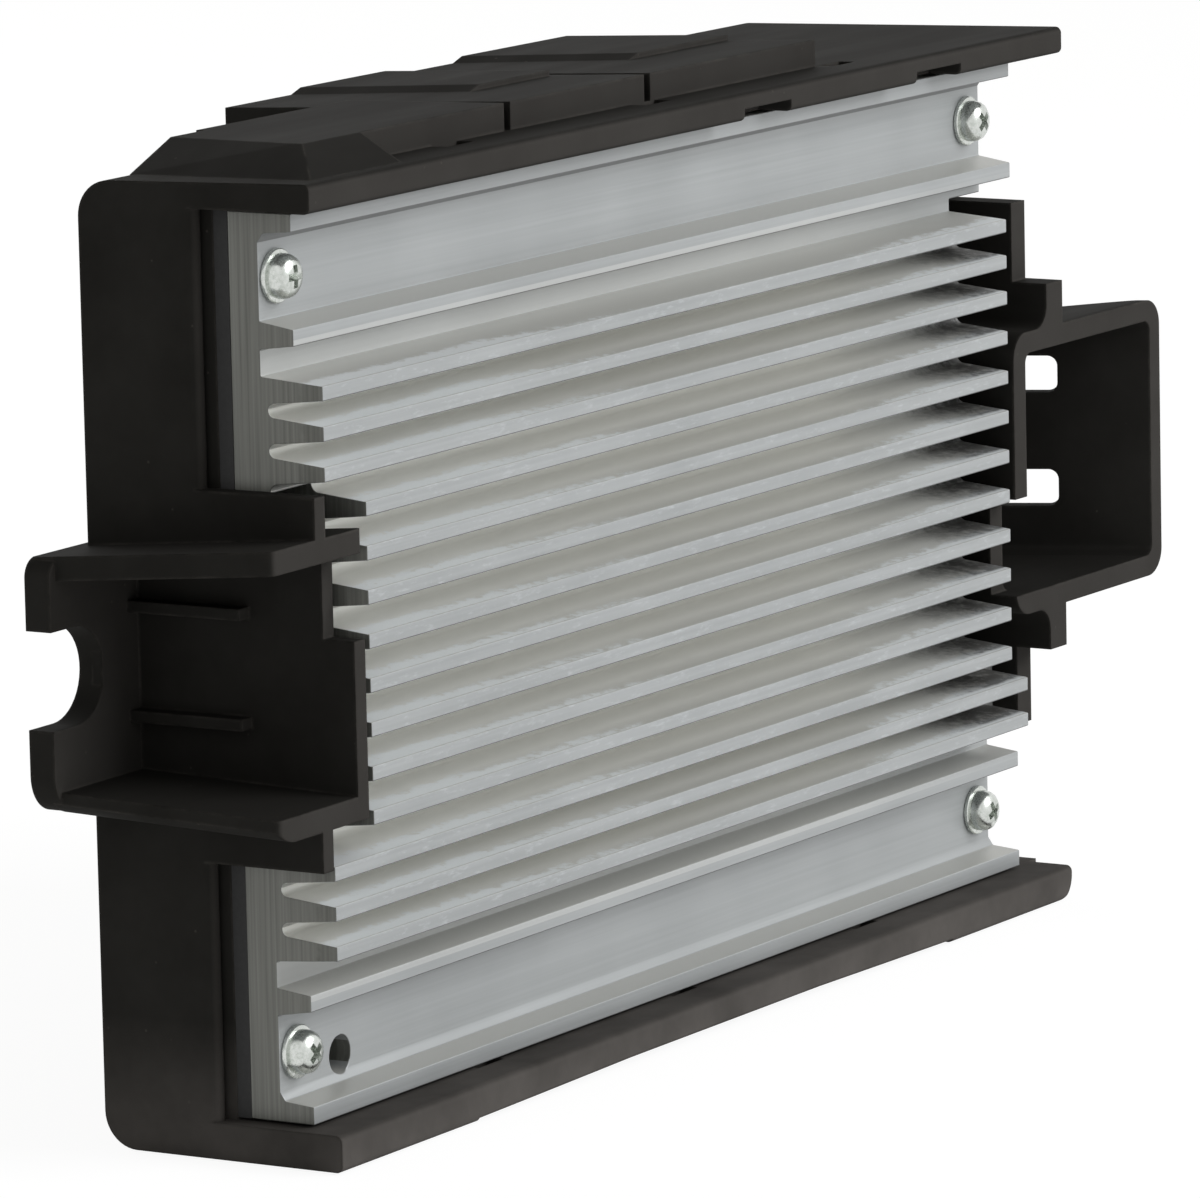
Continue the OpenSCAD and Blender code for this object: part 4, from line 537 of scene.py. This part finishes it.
# Camera solved from the photograph, in a frame of 1200 by 1198 pixels. Its focal length is in pixels too,
# its distance in mm
def photo_camera():
    azimuth, elevation, roll = (math.radians(a) for a in (-58.857, 9.43, -1.23))
    target, distance = Vector((-26.049, -25.0, 49.046)) * MM, 979.022
    frame_width, focal_length, sensor_width = 1200, 9300, 36.0
    back = Vector((math.sin(azimuth) * math.cos(elevation), -math.cos(azimuth) * math.cos(elevation),
                   math.sin(elevation)))
    right = Vector((0, 0, 1)).cross(back).normalized()
    up = back.cross(right)
    turned_right = right * math.cos(roll) + up * math.sin(roll)
    turned_up = back.cross(turned_right)
    data = bpy.data.cameras.new("photo_camera")
    data.sensor_fit = "HORIZONTAL"
    data.sensor_width = sensor_width
    data.lens = sensor_width * focal_length / frame_width
    data.clip_start = 0.05
    data.clip_end = 20.0
    camera = bpy.data.objects.new("photo_camera", data)
    bpy.context.scene.collection.objects.link(camera)
    place = Matrix((turned_right, turned_up, back)).transposed().to_4x4()
    place.translation = target + back * distance * MM
    camera.matrix_world = place
    bpy.context.scene.camera = camera


photo_camera()


# Adds the share of rays that see plain white: those from the camera, and mirrored or passed-through ones
def white_share(tree):
    path = add(tree, "ShaderNodeLightPath")
    mirrored = add(tree, "ShaderNodeMath", {"operation": "MAXIMUM"},
                   links={0: path.outputs["Is Glossy Ray"], 1: path.outputs["Is Transmission Ray"]})
    seen = add(tree, "ShaderNodeMath", {"operation": "MAXIMUM"},
               links={0: path.outputs["Is Camera Ray"], 1: mirrored.outputs["Value"]})
    return seen.outputs["Value"]


# Studio: white world and floor, a broad lamp in front that shines down between the fins, and a weaker
# one behind. The floor's glow leaves it a faint shadow
def studio():
    scene = bpy.context.scene
    scene.view_settings.view_transform = "Standard"
    world = bpy.data.worlds.new("studio")
    scene.world = world
    world.use_nodes = True
    tree = world.node_tree
    tree.nodes.clear()
    soft = add(tree, "ShaderNodeBackground", values={"Color": hex_colour("#fffefa"), "Strength": 0.35})
    white = add(tree, "ShaderNodeBackground", values={"Color": (1, 1, 1, 1), "Strength": 1.0})
    both = add(tree, "ShaderNodeMixShader",
               links={0: white_share(tree), 1: soft.outputs["Background"], 2: white.outputs["Background"]})
    add(tree, "ShaderNodeOutputWorld", links={"Surface": both.outputs["Shader"]})

    reach, below_part, glow_share = 6.0, -0.2 * MM, 0.85
    mesh = bpy.data.meshes.new("studio_floor")
    mesh.from_pydata([(-reach, -reach, 0), (reach, -reach, 0), (reach, reach, 0), (-reach, reach, 0)], [],
                     [(0, 1, 2, 3)])
    floor = bpy.data.objects.new("studio_floor", mesh)
    floor.location.z = below_part
    scene.collection.objects.link(floor)
    material = bpy.data.materials.new("white_paper")
    material.use_nodes = True
    tree = material.node_tree
    tree.nodes.clear()
    paper = add(tree, "ShaderNodeBsdfDiffuse", values={"Color": hex_colour("#f4f4f4")})
    glow = add(tree, "ShaderNodeEmission", values={"Color": (1, 1, 1, 1), "Strength": 1.08})
    share = add(tree, "ShaderNodeMath", {"operation": "MULTIPLY"}, {1: glow_share}, {0: white_share(tree)})
    mixed = add(tree, "ShaderNodeMixShader",
                links={0: share.outputs["Value"], 1: paper.outputs["BSDF"], 2: glow.outputs["Emission"]})
    add(tree, "ShaderNodeOutputMaterial", links={"Surface": mixed.outputs["Shader"]})
    mesh.materials.append(material)

    aim, lamp_size = Vector((0, 0, 0.05)), 0.7
    for name, place, power, colour in [
        ("front_lamp", (0.38, -1.03, 0.69), 10.5, "#fdfeff"),
        ("back_lamp", (0.3, 1.25, 0.32), 6.0, "#ffffff"),
    ]:
        lamp = bpy.data.lights.new(name, "AREA")
        lamp.size = lamp_size
        lamp.energy = power
        lamp.color = hex_colour(colour)[:3]
        thing = bpy.data.objects.new(name, lamp)
        thing.location = place
        thing.rotation_euler = (aim - Vector(place)).to_track_quat("-Z", "Y").to_euler()
        scene.collection.objects.link(thing)


studio()
